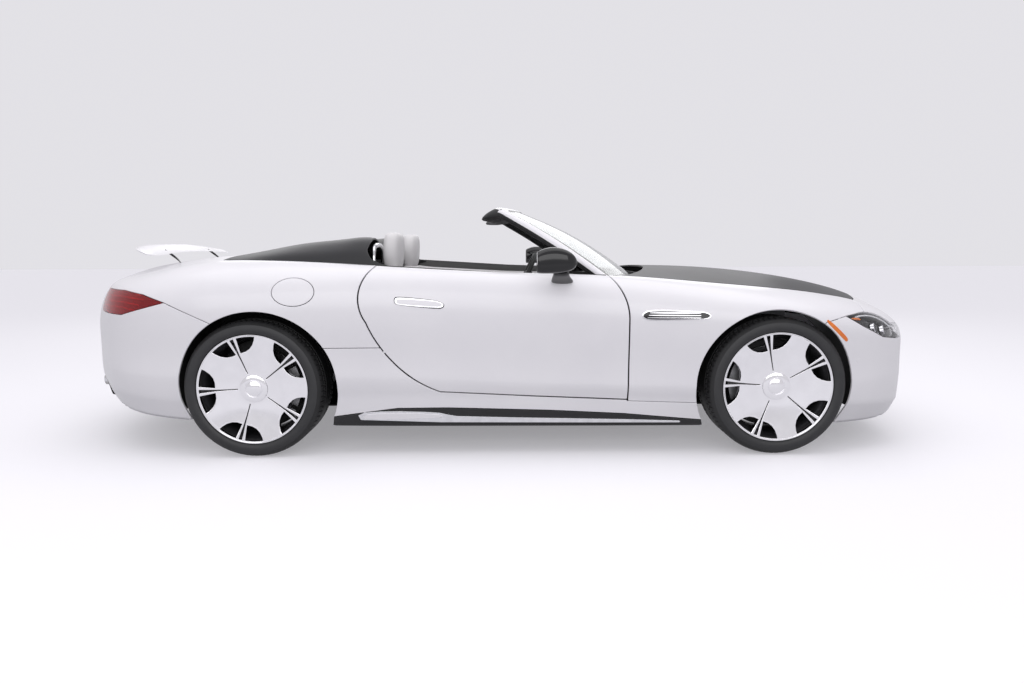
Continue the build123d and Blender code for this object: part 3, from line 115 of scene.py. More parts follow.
for name, place, size, power, aim in (
    ("overhead_box", (0.2, -0.6, 4.2), (7.5, 3.6), 75, (0, 0, 0)),
    ("near_box", (0.0, -7.5, 2.6), (11.0, 3.0), 190, (0, 0, 0.5)),
    ("far_box", (0.0, 6.0, 3.4), (9.0, 2.2), 60, (0, 0, 0.6)),
):
    light = bpy.data.lights.new(name, "AREA")
    light.shape = "RECTANGLE"
    light.size, light.size_y = size
    light.energy = power
    lamp = bpy.data.objects.new(name, light)
    lamp.location = place
    lamp.rotation_euler = (Vector(aim) - Vector(place)).to_track_quat("-Z", "Y").to_euler()
    scene.collection.objects.link(lamp)

# ---- the body's form ---------------------------------------------------------
# All outer panels are pressed to one flowing form. It is drawn as cross-sections from tail to nose:
# crown, shoulder, side, crease, rocker and base, joined by smooth curves.
# columns: x, top z, crest y z, widest y z, crease y z, rocker y z, base y z, in millimetres
STATIONS = np.array([
    (-2338, 640, 190, 632, 300, 520, 300, 430, 280, 395, 240, 360),
    (-2290, 800, 330, 775, 460, 600, 462, 450, 450, 372, 420, 310),
    (-2180, 925, 430, 888, 610, 650, 618, 455, 605, 346, 570, 270),
    (-2060, 970, 560, 915, 752, 700, 758, 455, 740, 332, 690, 240),
    (-1880, 1000, 670, 935, 880, 745, 875, 445, 855, 314, 810, 212),
    (-1620, 1028, 715, 990, 942, 750, 928, 435, 905, 300, 860, 188),
    (-1240, 1035, 750, 1012, 957, 745, 938, 428, 912, 300, 880, 168),
    (-650, 1005, 800, 985, 937, 750, 922, 425, 903, 318, 885, 155),
    (50, 962, 815, 946, 925, 720, 915, 398, 898, 312, 880, 150),
    (700, 958, 780, 922, 927, 700, 918, 377, 900, 296, 880, 148),
    (1100, 955, 750, 888, 940, 690, 927, 370, 908, 285, 880, 148),
    (1460, 932, 728, 855, 957, 675, 936, 368, 912, 275, 875, 148),
    (1750, 893, 700, 820, 930, 645, 922, 380, 902, 268, 850, 148),
    (1980, 845, 640, 778, 872, 605, 872, 395, 855, 258, 790, 150),
    (2140, 795, 545, 735, 778, 570, 782, 400, 765, 250, 700, 155),
    (2250, 735, 430, 690, 636, 550, 640, 400, 625, 240, 560, 165),
    (2338, 640, 200, 618, 300, 500, 300, 390, 288, 255, 250, 195),
], float) / 1000
T_KNOTS = np.array((0, 0.75, 1.08, 1.40, 1.49, 1.64, 2.49))   # crown, shoulder, side, crease, rocker, base


def natural_spline(knots, values, at):
    """Cubic spline through the rows of values, smooth in slope and curvature."""
    count = len(knots)
    step = np.diff(knots)
    system, goal = np.eye(count), np.zeros_like(values)
    for i in range(1, count - 1):
        system[i, i - 1:i + 2] = step[i - 1], 2 * (step[i - 1] + step[i]), step[i]
        goal[i] = 6 * ((values[i + 1] - values[i]) / step[i] - (values[i] - values[i - 1]) / step[i - 1])
    bend = np.linalg.solve(system, goal)
    i = np.clip(np.searchsorted(knots, at) - 1, 0, count - 2)
    h, a, b = step[i][:, None], (knots[i + 1] - at)[:, None], (at - knots[i])[:, None]
    return (
        (bend[i] * a**3 + bend[i + 1] * b**3) / (6 * h)
        + (values[i] / h - bend[i] * h / 6) * a + (values[i + 1] / h - bend[i + 1] * h / 6) * b
    )


# the rows are mirrored past nose and tail, so that the form rounds over its middle
turned = STATIONS * np.where(np.isin(np.arange(12), (2, 4, 6, 8, 10)), -1, 1)
rows = np.vstack((turned[2::-1], STATIONS, turned[:-4:-1]))
plan_step = np.hypot(np.diff(rows[:, 0]), np.diff(rows[:, 4]))
row_u = np.concatenate(((0,), np.cumsum(plan_step)))
U_TAIL, U_NOSE = (row_u[2] + row_u[3]) / 2, (row_u[-3] + row_u[-4]) / 2
fine_u = np.arange(row_u[0], row_u[-1], 0.005)
fine_rows = natural_spline(row_u, rows, fine_u)
blur = np.exp(-0.5 * (np.arange(-30, 31) * 0.005 / 0.045) ** 2)
blur /= blur.sum()
fine_rows = np.stack([
    np.convolve(np.pad(column, 30, mode="reflect", reflect_type="odd"), blur, "valid")
    for column in fine_rows.T
]).T

# how far the tail and the nose are drawn in, where that begins and over what length, in metres
TAIL_DRAW, TAIL_FROM, TAIL_LENGTH = 0.040, -1.4, 0.96
NOSE_DRAW, NOSE_FROM, NOSE_LENGTH = 0.012, 1.6, 0.75


def drawn_in(x):
    """How far a place x along the car moves inward, so that bars and lamps stay within its length."""
    return (
        TAIL_DRAW * (np.clip(TAIL_FROM - x, 0, None) / TAIL_LENGTH) ** 2
        - NOSE_DRAW * (np.clip(x - NOSE_FROM, 0, None) / NOSE_LENGTH) ** 2
    )


fine_rows[:, 0] += drawn_in(fine_rows[:, 0])


def bezier(points, s):
    """A place along a cubic curve through four control points."""
    a, b, c, d = points
    return a * (1 - s)**3 + 3 * b * s * (1 - s)**2 + 3 * c * s**2 * (1 - s) + d * s**3


def body_point(u, t):
    """Points of the left half of the outer form: u runs from tail to nose, t from the crown down."""
    x, top, cy, cz, wy, wz, ky, kz, ry, rz, by, bz = (np.interp(u, fine_u, column) for column in fine_rows.T)
    t = np.clip(t, 0, T_KNOTS[-1])
    slope = -1.6 * (top - cz) / np.maximum(cy, 0.05)
    h, a, b, c = 0.45 * cy, 0.62 * (wy - cy), 0.60 * (cz - wz), 0.40 * (wz - kz)
    zero = np.zeros_like(x)
    spans = (
        ((zero, top), (0.9 * h, top), (cy - h, cz - slope * h), (cy, cz)),
        ((cy, cz), (cy + a, cz + slope * a), (wy, wz + b), (wy, wz)),
        ((wy, wz), (wy, wz - c), (ky - 0.018 * (wz - kz), kz + c), (ky, kz)),
        ((ky, kz), (ky, kz - 0.03), (ry + 0.008, rz + 0.03), (ry, rz)),
        ((ry, rz), (ry * 0.67 + by * 0.33, rz * 0.67 + bz * 0.33),
         (ry * 0.33 + by * 0.67, rz * 0.33 + bz * 0.67), (by, bz)),
        ((by, bz), (by * 0.67, bz), (by * 0.33, bz), (zero, bz)),
    )
    y, z = np.zeros_like(x), np.zeros_like(x)
    for k, span in enumerate(spans):
        inside = (t >= T_KNOTS[k]) & (t <= T_KNOTS[k + 1])
        s = np.clip((t - T_KNOTS[k]) / (T_KNOTS[k + 1] - T_KNOTS[k]), 0, 1)
        y = np.where(inside, bezier([p[0] for p in span], s), y)
        z = np.where(inside, bezier([p[1] for p in span], s), z)
    y = np.where((np.abs(u - U_NOSE) < 1e-9) | (np.abs(u - U_TAIL) < 1e-9), 0, y)
    return np.stack((x, y, z), -1)


def body_slopes(u, t, reach=0.006):
    """How a point of the form moves with u and with t."""
    t_low, t_high = np.maximum(t - reach, 0), np.minimum(t + reach, T_KNOTS[-1])
    along = (body_point(u + reach, t) - body_point(u - reach, t)) / (2 * reach)
    down = (body_point(u, t_high) - body_point(u, t_low)) / (t_high - t_low)[..., None]
    return along, down


def body_normal(u, t):
    """Which way the form looks at a point."""
    u, t = np.asarray(u, float), np.asarray(t, float)
    along, down = body_slopes(u, t, 0.010)
    normal = np.cross(along, down)
    normal[..., 1] = np.where(np.abs(body_point(u, t)[..., 1]) < 1e-5, 0, normal[..., 1])
    length = np.linalg.norm(normal, axis=-1, keepdims=True)
    return normal / np.maximum(length, 1e-9)


chart_u, chart_t = np.meshgrid(np.arange(U_TAIL, U_NOSE, 0.012), np.arange(0, T_KNOTS[5] + 0.2, 0.012),
                               indexing="ij")
chart = body_point(chart_u, chart_t)
# each view's two axes, and the span of t that it sees
VIEWS = {
    "side": ((0, 2), T_KNOTS[1] * 0.93, T_KNOTS[5] + 0.1), "top": ((0, 1), 0, T_KNOTS[2]),
    "end": ((1, 2), 0, T_KNOTS[5]),
}


def on_body(view, points, end=0):
    """The (u, t) of points drawn in a view, in millimetres. end is 1 for the nose, -1 for the tail."""
    axes, t_low, t_high = VIEWS[view]
    goal = np.asarray(points, float) / 1000
    usable = (chart_t >= t_low) & (chart_t <= t_high)
    if end:
        usable &= chart[..., 0] * end > 1.3
    candidates = chart[usable][:, axes]
    cu, ct = chart_u[usable], chart_t[usable]
    nearest = np.array([np.argmin(((candidates - g) ** 2).sum(1)) for g in goal])
    u, t = cu[nearest].copy(), ct[nearest].copy()
    for _ in range(6):
        miss = goal - body_point(u, t)[:, axes]
        along, down = body_slopes(u, t)
        a, b = along[:, axes], down[:, axes]
        det = a[:, 0] * b[:, 1] - a[:, 1] * b[:, 0]
        det = np.where(np.abs(det) < 0.02, 0.02 * np.where(det < 0, -1, 1), det)
        u = u + np.clip((miss[:, 0] * b[:, 1] - miss[:, 1] * b[:, 0]) / det, -0.02, 0.02)
        t = t + np.clip((a[:, 0] * miss[:, 1] - a[:, 1] * miss[:, 0]) / det, -0.02, 0.02)
        u, t = np.clip(u, U_TAIL, U_NOSE), np.clip(t, t_low, t_high)
    return np.stack((u, t), -1)


# between the points of a seam, in millimetres
POINT_STEP = 10


def dense(points):
    """A polyline in millimetres with points added along its runs."""
    out = [points[0]]
    for p, q in zip(points, points[1:]):
        n = max(1, round(math.dist(p, q) / POINT_STEP))
        out += [(p[0] + (q[0] - p[0]) * i / n, p[1] + (q[1] - p[1]) * i / n) for i in range(1, n + 1)]
    return out


def arc(p, q, r):
    """Points of the arc from p through q to r, without p."""
    (ax, ay), (bx, by), (cx, cy) = p, q, r
    d = 2 * (ax * (by - cy) + bx * (cy - ay) + cx * (ay - by))
    aa, bb, cc = ax * ax + ay * ay, bx * bx + by * by, cx * cx + cy * cy
    ox = (aa * (by - cy) + bb * (cy - ay) + cc * (ay - by)) / d
    oy = (aa * (cx - bx) + bb * (ax - cx) + cc * (bx - ax)) / d
    start, middle, end = (math.atan2(y - oy, x - ox) for x, y in (p, q, r))
    turn = (end - start) % math.tau
    if (middle - start) % math.tau > turn:
        turn -= math.tau
    radius = math.dist(p, (ox, oy))
    n = max(2, round(abs(turn) * radius / POINT_STEP))
    angles = [start + turn * i / n for i in range(1, n + 1)]
    return [(ox + radius * math.cos(angle), oy + radius * math.sin(angle)) for angle in angles]


def circle_run(center, radius, start, end, step=8):
    """Points round part of a circle, from one angle to another in degrees."""
    n = max(2, round(abs(math.radians(end - start)) * radius / step))
    angles = [math.radians(start + (end - start) * i / n) for i in range(n + 1)]
    return [(center[0] + radius * math.cos(a), center[1] + radius * math.sin(a)) for a in angles]


def inside_loop(points, loop):
    """Which points lie inside a closed loop, both in (u, t)."""
    x, y = points[:, 0][:, None], points[:, 1][:, None]
    x1, y1 = loop[:, 0][None], loop[:, 1][None]
    x2, y2 = np.roll(loop[:, 0], -1)[None], np.roll(loop[:, 1], -1)[None]
    crosses = (y1 > y) != (y2 > y)
    at = x1 + (y - y1) * (x2 - x1) / np.where(np.abs(y2 - y1) < 1e-12, 1e-12, y2 - y1)
    return (crosses & (x < at)).sum(1) % 2 == 1


def between(points, loops):
    """Which points lie inside the first loop and outside the others."""
    keep = inside_loop(points, loops[0])
    for loop in loops[1:]:
        keep &= ~inside_loop(points, loop)
    return keep


def clear_of(points, loops, distance):
    """The points that stay further than a distance from every loop."""
    corners = np.vstack(loops)
    return points[np.array([((corners - point) ** 2).sum(1).min() for point in points]) > distance ** 2]


def filled(loops, grid, tolerance):
    """Triangles between closed loops, through a grid's points: places, triangles, where each point went."""
    flat = np.vstack((*loops, grid))
    links, at = [], 0
    for loop in loops:
        links += [(at + i, at + (i + 1) % len(loop)) for i in range(len(loop))]
        at += len(loop)
    places, _, triangles, origin, *_ = delaunay_2d_cdt([Vector(p) for p in flat], links, [], 0, tolerance)
    places = np.array([tuple(flat[o[0]]) if o else tuple(v) for v, o in zip(places, origin)])
    triangles = np.array(triangles)
    triangles = triangles[between(places[triangles].mean(1), loops)]
    return places, triangles, {s: i for i, o in enumerate(origin) for s in o}


def unit(v):
    """Vectors brought to length 1."""
    return v / np.maximum(np.linalg.norm(v, axis=-1, keepdims=True), 1e-12)


def edge_rings(loop, gaps, clockwise, roll, wall, sink):
    """The rolled edge of a panel: its first ring in (u, t), then rings of points and normals."""
    area = 0.5 * np.sum(loop[:, 0] * np.roll(loop[:, 1], -1) - np.roll(loop[:, 0], -1) * loop[:, 1])
    if (area < 0) != clockwise:
        loop, gaps = loop[::-1], np.roll(gaps[::-1], -1)
    place, normal = body_point(loop[:, 0], loop[:, 1]), body_normal(loop[:, 0], loop[:, 1])
    after = unit(np.roll(place, -1, 0) - place)
    before = np.roll(after, 1, 0)
    out_after, out_before = unit(np.cross(after, normal)), unit(np.cross(before, normal))
    gap_after, gap_before = gaps, np.roll(gaps, 1)
    bare_after, bare_before = np.isnan(gap_after), np.isnan(gap_before)
    d_after = np.where(bare_after, 0, gap_after + roll)
    d_before = np.where(bare_before, 0, gap_before + roll)
    shift, outward = np.zeros_like(place), np.zeros_like(place)
    for i in range(len(loop)):
        b1, b2, n = out_before[i], out_after[i], normal[i]
        if bare_before[i] and bare_after[i]:
            continue
        if np.linalg.norm(np.cross(b1, b2)) < 0.08:
            share = 1 if bare_before[i] or bare_after[i] else 2
            shift[i] = -(d_before[i] * b1 + d_after[i] * b2) / share
            outward[i] = unit(b1 + b2)
        else:
            axes = np.stack((b1, b2, n))
            shift[i] = np.linalg.solve(axes, (-d_before[i], -d_after[i], 0))
            w = np.linalg.solve(axes, (0.0 if bare_before[i] else 1.0, 0.0 if bare_after[i] else 1.0, 0))
            outward[i] = w * min(1, 1.9 / np.linalg.norm(w))
            longest = 2.5 * max(d_before[i], d_after[i])
            if np.linalg.norm(shift[i]) > longest:
                shift[i] *= longest / np.linalg.norm(shift[i])
    along, down = body_slopes(loop[:, 0], loop[:, 1])
    aa, ab, bb = (along * along).sum(1), (along * down).sum(1), (down * down).sum(1)
    sa, sb = (shift * along).sum(1), (shift * down).sum(1)
    det = np.maximum(aa * bb - ab * ab, 1e-6)
    first = loop + np.stack(((sa * bb - sb * ab) / det, (sb * aa - sa * ab) / det), -1)
    start, lift = body_point(first[:, 0], first[:, 1]), body_normal(first[:, 0], first[:, 1])
    start = start - lift * sink
    rings = []
    for angle in (0.4, 0.8, 1.2, math.pi / 2):
        rings.append((
            start + outward * roll * math.sin(angle) - lift * roll * (1 - math.cos(angle)),
            unit(lift * math.cos(angle) + outward * math.sin(angle)),
        ))
    rings.append((start + outward * roll - lift * wall, unit(outward)))
    return first, lift, rings, bare_after


THIN_WALL = 0.0014


def panel_mesh(edges, wall=0.010, roll=0.003, step=0.020, holes=(), sink=0.0, thin=None):
    """Vertices, faces and corner normals of a pressed panel on the left half of the form.

    edges are the runs of its outline, each with half the gap to its neighbour, or None on the car's middle.
    thin is the low and high corner, in side view, of a patch with a thin wall."""
    faces, corner_normals, loops = [], [], []
    for number, runs in enumerate((edges, *holes)):
        loop, gaps = [], []
        for run, gap in runs:
            run = list(map(tuple, run))
            if loop and math.dist(loop[-1], run[0]) < 0.004:
                loop.pop()
                gaps.pop()
            loop += run
            gaps += [np.nan if gap is None else gap / 1000] * len(run)
        if math.dist(loop[0], loop[-1]) < 0.004:
            loop.pop()
            gaps.pop()
        loops.append(edge_rings(np.array(loop), np.array(gaps), number > 0, roll, wall, sink))
    rims = [first for first, *_ in loops]
    (u_low, t_low), (u_high, t_high) = rims[0].min(0), rims[0].max(0)
    t_lines = np.concatenate([
        np.linspace(a, b, max(1, round((b - a) / step)), endpoint=False) for a, b in zip(T_KNOTS, T_KNOTS[1:])
    ])
    t_lines = t_lines[(t_lines > t_low) & (t_lines < t_high)]
    grid = np.stack(np.meshgrid(np.arange(u_low, u_high, step), t_lines, indexing="ij"), -1).reshape(-1, 2)
    grid = clear_of(grid[between(grid, rims)], rims, 0.45 * step)
    uv, triangles, index_of = filled(rims, grid, 1e-7)
    p, n = body_point(uv[:, 0], uv[:, 1]), body_normal(uv[:, 0], uv[:, 1])
    p = p - n * sink
    a, b, c = p[triangles[:, 0]], p[triangles[:, 1]], p[triangles[:, 2]]
    flip = (np.cross(b - a, c - a) * n[triangles[:, 0]]).sum(1) < 0
    triangles[flip] = triangles[flip][:, ::-1]
    count = len(p)
    inner = p - n * wall
    if thin is not None:
        near = np.all((p[:, (0, 2)] > thin[0]) & (p[:, (0, 2)] < thin[1]), axis=1)
        inner[near] = (p - n * THIN_WALL)[near]
    points, total, offset = [p, inner], 2 * count, 0
    for first, lift, rings, bare in loops:
        size = len(first)
        ids = [[index_of[offset + i] for i in range(size)]]
        ring_normals = [lift]
        for ring, ring_normal in rings[:-1]:
            points.append(ring)
            ids.append([total + i for i in range(size)])
            ring_normals.append(ring_normal)
            total += size
        last, last_normal = rings[-1]
        inner_ids = [count + i for i in ids[0]]
        for i, target in enumerate(inner_ids):
            inner[target - count] = last[i]
        ids.append(inner_ids)
        ring_normals.append(last_normal)
        for i in range(size):
            if bare[i]:
                continue
            j = (i + 1) % size
            for k in range(len(ids) - 1):
                corners = ((k, i), (k + 1, i), (k + 1, j), (k, j))
                faces.append(tuple(ids[ring][at] for ring, at in corners))
                corner_normals += [ring_normals[ring][at] for ring, at in corners]
        offset += size
    for tri in triangles:
        faces.append(tuple(tri))
        corner_normals += [n[i] for i in tri]
    for tri in triangles:
        faces.append(tuple(count + i for i in tri[::-1]))
        corner_normals += [-n[i] for i in tri[::-1]]
    return np.vstack(points), faces, np.array(corner_normals)


def placed(name, mesh):
    """A piece in the scene that shows a mesh."""
    piece = bpy.data.objects.new(name, mesh)
    scene.collection.objects.link(piece)
    return piece


def build_panel(name, material, mesh_parts, sides="both"):
    """A mesh object from the left half's data: its own side, the mirrored right side, or both welded."""
    points, faces, normals = mesh_parts
    back, at = [], 0
    for face in faces:
        back.append(normals[at:at + len(face)][::-1])
        at += len(face)
    back = np.vstack(back) * (1, -1, 1)
    if sides == "both":
        on_middle = np.abs(points[:, 1]) < 1e-5
        link = np.where(on_middle, np.arange(len(points)), -1)
        others = np.flatnonzero(~on_middle)
        link[others] = len(points) + np.arange(len(others))
        all_points = np.vstack((points, points[others] * (1, -1, 1)))
        all_faces = faces + [tuple(link[i] for i in reversed(face)) for face in faces]
        all_normals = np.vstack((normals, back))
    elif sides == "left":
        all_points, all_faces, all_normals = points, faces, normals
    else:
        all_points, all_faces = points * (1, -1, 1), [tuple(reversed(face)) for face in faces]
        all_normals = back
    mesh = bpy.data.meshes.new(name)
    mesh.from_pydata([tuple(p) for p in all_points], [], [tuple(int(i) for i in f) for f in all_faces])
    mesh.shade_smooth()
    mesh.normals_split_custom_set([tuple(v) for v in all_normals])
    mesh.materials.append(material)
    return placed(name, mesh)

# ---- paint -------------------------------------------------------------------
# Satin paint over metal: a very fine orange-peel in the lacquer and a trace of uneven flake.
def noise_node(tree, scale, detail=2.0):
    """A noise pattern laid in the piece's own space."""
    coords = tree.nodes.new("ShaderNodeTexCoord")
    noise = tree.nodes.new("ShaderNodeTexNoise")
    noise.inputs["Scale"].default_value = scale
    noise.inputs["Detail"].default_value = detail
    tree.links.new(coords.outputs["Object"], noise.inputs["Vector"])
    return noise


finish_group = bpy.data.node_groups.new("mottled finish", "ShaderNodeTree")
for label, way, kind in (
    ("Scale", "INPUT", "Float"), ("Low", "INPUT", "Color"), ("High", "INPUT", "Color"),
    ("Rough low", "INPUT", "Float"),
    ("Rough high", "INPUT", "Float"), ("Grain", "INPUT", "Float"), ("Grain scale", "INPUT", "Float"),
    ("Color", "OUTPUT", "Color"), ("Roughness", "OUTPUT", "Float"), ("Normal", "OUTPUT", "Vector"),
):
    finish_group.interface.new_socket(label, in_out=way, socket_type="NodeSocket" + kind)
given, result = finish_group.nodes.new("NodeGroupInput"), finish_group.nodes.new("NodeGroupOutput")
patches, pits = noise_node(finish_group, 1, 4), noise_node(finish_group, 1, 2)
spread = finish_group.nodes.new("ShaderNodeMapRange")
spread.inputs["From Min"].default_value, spread.inputs["From Max"].default_value = 0.3, 0.7
shade = finish_group.nodes.new("ShaderNodeMix")
shade.data_type = "RGBA"
sheen = finish_group.nodes.new("ShaderNodeMapRange")
bump = finish_group.nodes.new("ShaderNodeBump")
for source, target in (
    (given.outputs["Scale"], patches.inputs["Scale"]), (given.outputs["Grain scale"], pits.inputs["Scale"]),
    (patches.outputs["Fac"], spread.inputs["Value"]), (spread.outputs["Result"], shade.inputs["Factor"]),
    (given.outputs["Low"], shade.inputs["A"]), (given.outputs["High"], shade.inputs["B"]),
    (shade.outputs["Result"], result.inputs["Color"]), (patches.outputs["Fac"], sheen.inputs["Value"]),
    (given.outputs["Rough low"], sheen.inputs["To Min"]),
    (given.outputs["Rough high"], sheen.inputs["To Max"]),
    (sheen.outputs["Result"], result.inputs["Roughness"]), (pits.outputs["Fac"], bump.inputs["Height"]),
    (given.outputs["Grain"], bump.inputs["Distance"]), (bump.outputs["Normal"], result.inputs["Normal"]),
):
    finish_group.links.new(source, target)


def finish(name, roughness, scale, low, high, grain=0.0, grain_scale=600, rough=None, metallic=0.0,
           **sockets):
    """A material with uneven color between low and high, a fine grain and plain values on other sockets."""
    material = bpy.data.materials.new(name)
    material.use_nodes = True
    tree = material.node_tree
    shader = tree.nodes["Principled BSDF"]
    shader.inputs["Roughness"].default_value = roughness
    shader.inputs["Metallic"].default_value = metallic
    for socket, value in sockets.items():
        shader.inputs[socket.replace("_", " ")].default_value = value
    mottle = tree.nodes.new("ShaderNodeGroup")
    mottle.node_tree = finish_group
    for label, value in (
        ("Scale", scale), ("Low", (*low, 1)), ("High", (*high, 1)), ("Grain", grain),
        ("Grain scale", grain_scale),
    ):
        mottle.inputs[label].default_value = value
    tree.links.new(mottle.outputs["Color"], shader.inputs["Base Color"])
    if rough:
        mottle.inputs["Rough low"].default_value, mottle.inputs["Rough high"].default_value = rough
        tree.links.new(mottle.outputs["Roughness"], shader.inputs["Roughness"])
    if grain:
        tree.links.new(mottle.outputs["Normal"], shader.inputs["Normal"])
    return material


white_paint = finish("satin white paint", 0.34, 3, (0.80, 0.785, 0.82), (0.83, 0.815, 0.845), 0.00002, 900,
                     (0.30, 0.37), Coat_Weight=0.35, Coat_Roughness=0.12)
black_paint = finish("satin black paint", 0.36, 3, (0.008, 0.008, 0.010), (0.012, 0.012, 0.014), 0.00002, 900,
                     (0.32, 0.40), Specular_IOR_Level=0.22)
gloss_black = finish("gloss black plastic", 0.10, 6, (0.006, 0.006, 0.007), (0.010, 0.010, 0.011), 0, 0,
                     (0.06, 0.13))
dark_plastic = finish("grained black plastic", 0.6, 20, (0.012, 0.012, 0.013), (0.022, 0.022, 0.023), 0.0002,
                      700, (0.5, 0.7))
chrome = finish("polished chrome", 0.08, 30, (0.72, 0.72, 0.74), (0.82, 0.82, 0.84), 0, 0, (0.05, 0.12),
                metallic=1.0)

# ---- seams between the outer panels ------------------------------------------
# Each seam is drawn once and shared by the two panels that meet there, so the gap stays even.
SHUT, FIXED = 3.5, 1.5          # half of the gap at an opening panel, half of the gap at a fixed one
ARCH_RADIUS = 404
FRONT_ARCH, REAR_ARCH = (1446, 355), (-1212, 355)


def side(points):
    return on_body("side", dense(points))


def top(points):
    return on_body("top", dense(points))


def nose_view(points):
    return on_body("end", dense(points), 1)


def tail_view(points):
    return on_body("end", dense(points), -1)


def middle_run(first, last):
    """The car's middle line, between two points (u, t) on it."""
    def length_along(point):
        u, t = point
        return u if t < 1e-6 else (U_NOSE + t if u > 1.0 + U_TAIL else U_TAIL - t)
    a, b = length_along(first), length_along(last)
    n = max(2, round(abs(b - a) / 0.015))
    s = np.linspace(a, b, n + 1)
    return np.stack((np.clip(s, U_TAIL, U_NOSE), np.maximum(np.maximum(s - U_NOSE, U_TAIL - s), 0)), -1)


def arch_run(center, start, end):
    return on_body("side", circle_run(center, ARCH_RADIUS, start, end))


def u_at(x):
    """Where along the form a place x lies, in millimetres."""
    line = np.linspace(U_TAIL, U_NOSE, 1500)
    return np.interp(np.asarray(x) / 1000, body_point(line, np.zeros(1500))[:, 0], line)


def low_run(x_from, x_to, t=1.655):
    """A run along the body's lower edge, where it turns under, between two places along the car."""
    u = u_at([x_from, x_to])
    n = max(2, round(abs(u[1] - u[0]) / 0.012))
    return np.stack((np.linspace(u[0], u[1], n + 1), np.full(n + 1, t)), -1)


def last_mm(run, axis):
    """Where a run ends along an axis, in millimetres."""
    return float(body_point(*run[-1:].T)[0, axis]) * 1000


def to_middle(run, x):
    """A run cut just short of the car's middle line and ended on it at x, in millimetres."""
    return np.vstack((run[body_point(run[:, 0], run[:, 1])[:, 1] > 0.006], [(float(u_at(x)), 0)]))


rear_arc = arc((668, 742), (900, 0), (668, -742))
bonnet_rear = to_middle(top([(668, 742)] + rear_arc[:len(rear_arc) // 2]), 900)
bonnet_side = top([(668, 742), (900, 736), (1150, 724), (1472, 705), (1788, 668), (1965, 620)])
nose_arc = arc((1965, 620), (2130, 0), (1965, -620))
bonnet_nose = to_middle(top([(1965, 620)] + nose_arc[:len(nose_arc) // 2]), 2130)
bonnet_edges = [
    (bonnet_side, SHUT), (bonnet_nose, SHUT), (middle_run(bonnet_nose[-1], bonnet_rear[-1]), None),
    (bonnet_rear[::-1], SHUT),
]

# front: lamp, bumper and wing seams
lamp_top = side([(1804, 721), (1875, 731)] + arc((1875, 731), (2030, 716), (2115, 668)))
lamp_front_top = nose_view([(last_mm(lamp_top, 1), 668), (600, 656), (455, 648)])
lamp_inner = nose_view([(455, 648), (462, 594)])
lamp_low = nose_view([(462, 594), (620, 588), (765, 590)])
lamp_low_side = side([(last_mm(lamp_low, 0), 590), (2030, 606), (1900, 668), (1804, 721)])
wing_tip = np.vstack((bonnet_nose[:1], side([(1935, 736)])))
wing_tip = np.linspace(wing_tip[0], wing_tip[1], 8)
split = int(np.argmin(np.abs(body_point(lamp_top[:, 0], lamp_top[:, 1])[:, 0] - 1.935)))
wing_tip[-1] = lamp_top[split]
bumper_seam = side([(1804, 721), (1690, 692), (1681, 683)])
front_arch_start = math.degrees(math.atan2(683 - 355, 1681 - 1446))
door_front = side([(690, 283), (690, 700)] + arc((690, 700), (672, 812), (600, 925)))
belt_front = top([(596, 771), (640, 770), (668, 742)])
door_front = np.vstack((door_front, np.linspace(door_front[-1], belt_front[0], 4)[1:]))
front_sill = side([(1051, 272), (690, 283)])
wing_edges = [
    (bonnet_side, SHUT), (wing_tip, FIXED), (lamp_top[:split + 1][::-1], FIXED), (bumper_seam, FIXED),
    (arch_run(FRONT_ARCH, front_arch_start, 191.9), FIXED), (front_sill, FIXED), (door_front, SHUT),
    (belt_front, SHUT),
]

# doors and sills
door_rear = side([(-280, 336)] + arc((-280, 336), (-507, 484), (-648, 700)) + arc((-648, 700), (-684, 840),
    (-618, 975)))
belt = top([(596, 771), (0, 781), (-612, 789)])
door_rear = np.vstack((door_rear, np.linspace(door_rear[-1], belt[-1], 4)[1:]))
door_low = side([(-280, 336), (200, 311), (690, 290)])
door_edges = [(belt, SHUT), (door_rear[::-1], SHUT), (door_low, SHUT), (door_front[1:], SHUT)]
z_rear = body_point(door_rear[:, 0], door_rear[:, 1])[:, 2]
waist = int(np.argmin(np.abs(z_rear - 0.570)))
quarter_low = side([(last_mm(door_rear[:waist + 1], 0), 570), (-870, 570)])
quarter_low[0] = door_rear[waist]
sill_low = side([
    (1081, 178), (942, 190), (678, 214), (284, 234), (-241, 250), (-504, 249), (-820, 208), (-837, 205),
])
sill_edges = [
    (front_sill, FIXED), (np.vstack((door_front[:1], door_low[::-1], door_rear[1:waist + 1])), SHUT),
    (quarter_low, FIXED),
    (arch_run(REAR_ARCH, 32.2, -21.8), FIXED), (sill_low[::-1], FIXED),
    (arch_run(FRONT_ARCH, 206, 191.9), FIXED),
]
insert_low = low_run(1098, -853, 1.70)
insert_edges = [(sill_low, FIXED), (np.linspace(sill_low[-1], insert_low[-1], 6), FIXED),
                (insert_low[::-1], FIXED),
                (np.linspace(insert_low[0], sill_low[0], 6), FIXED)]

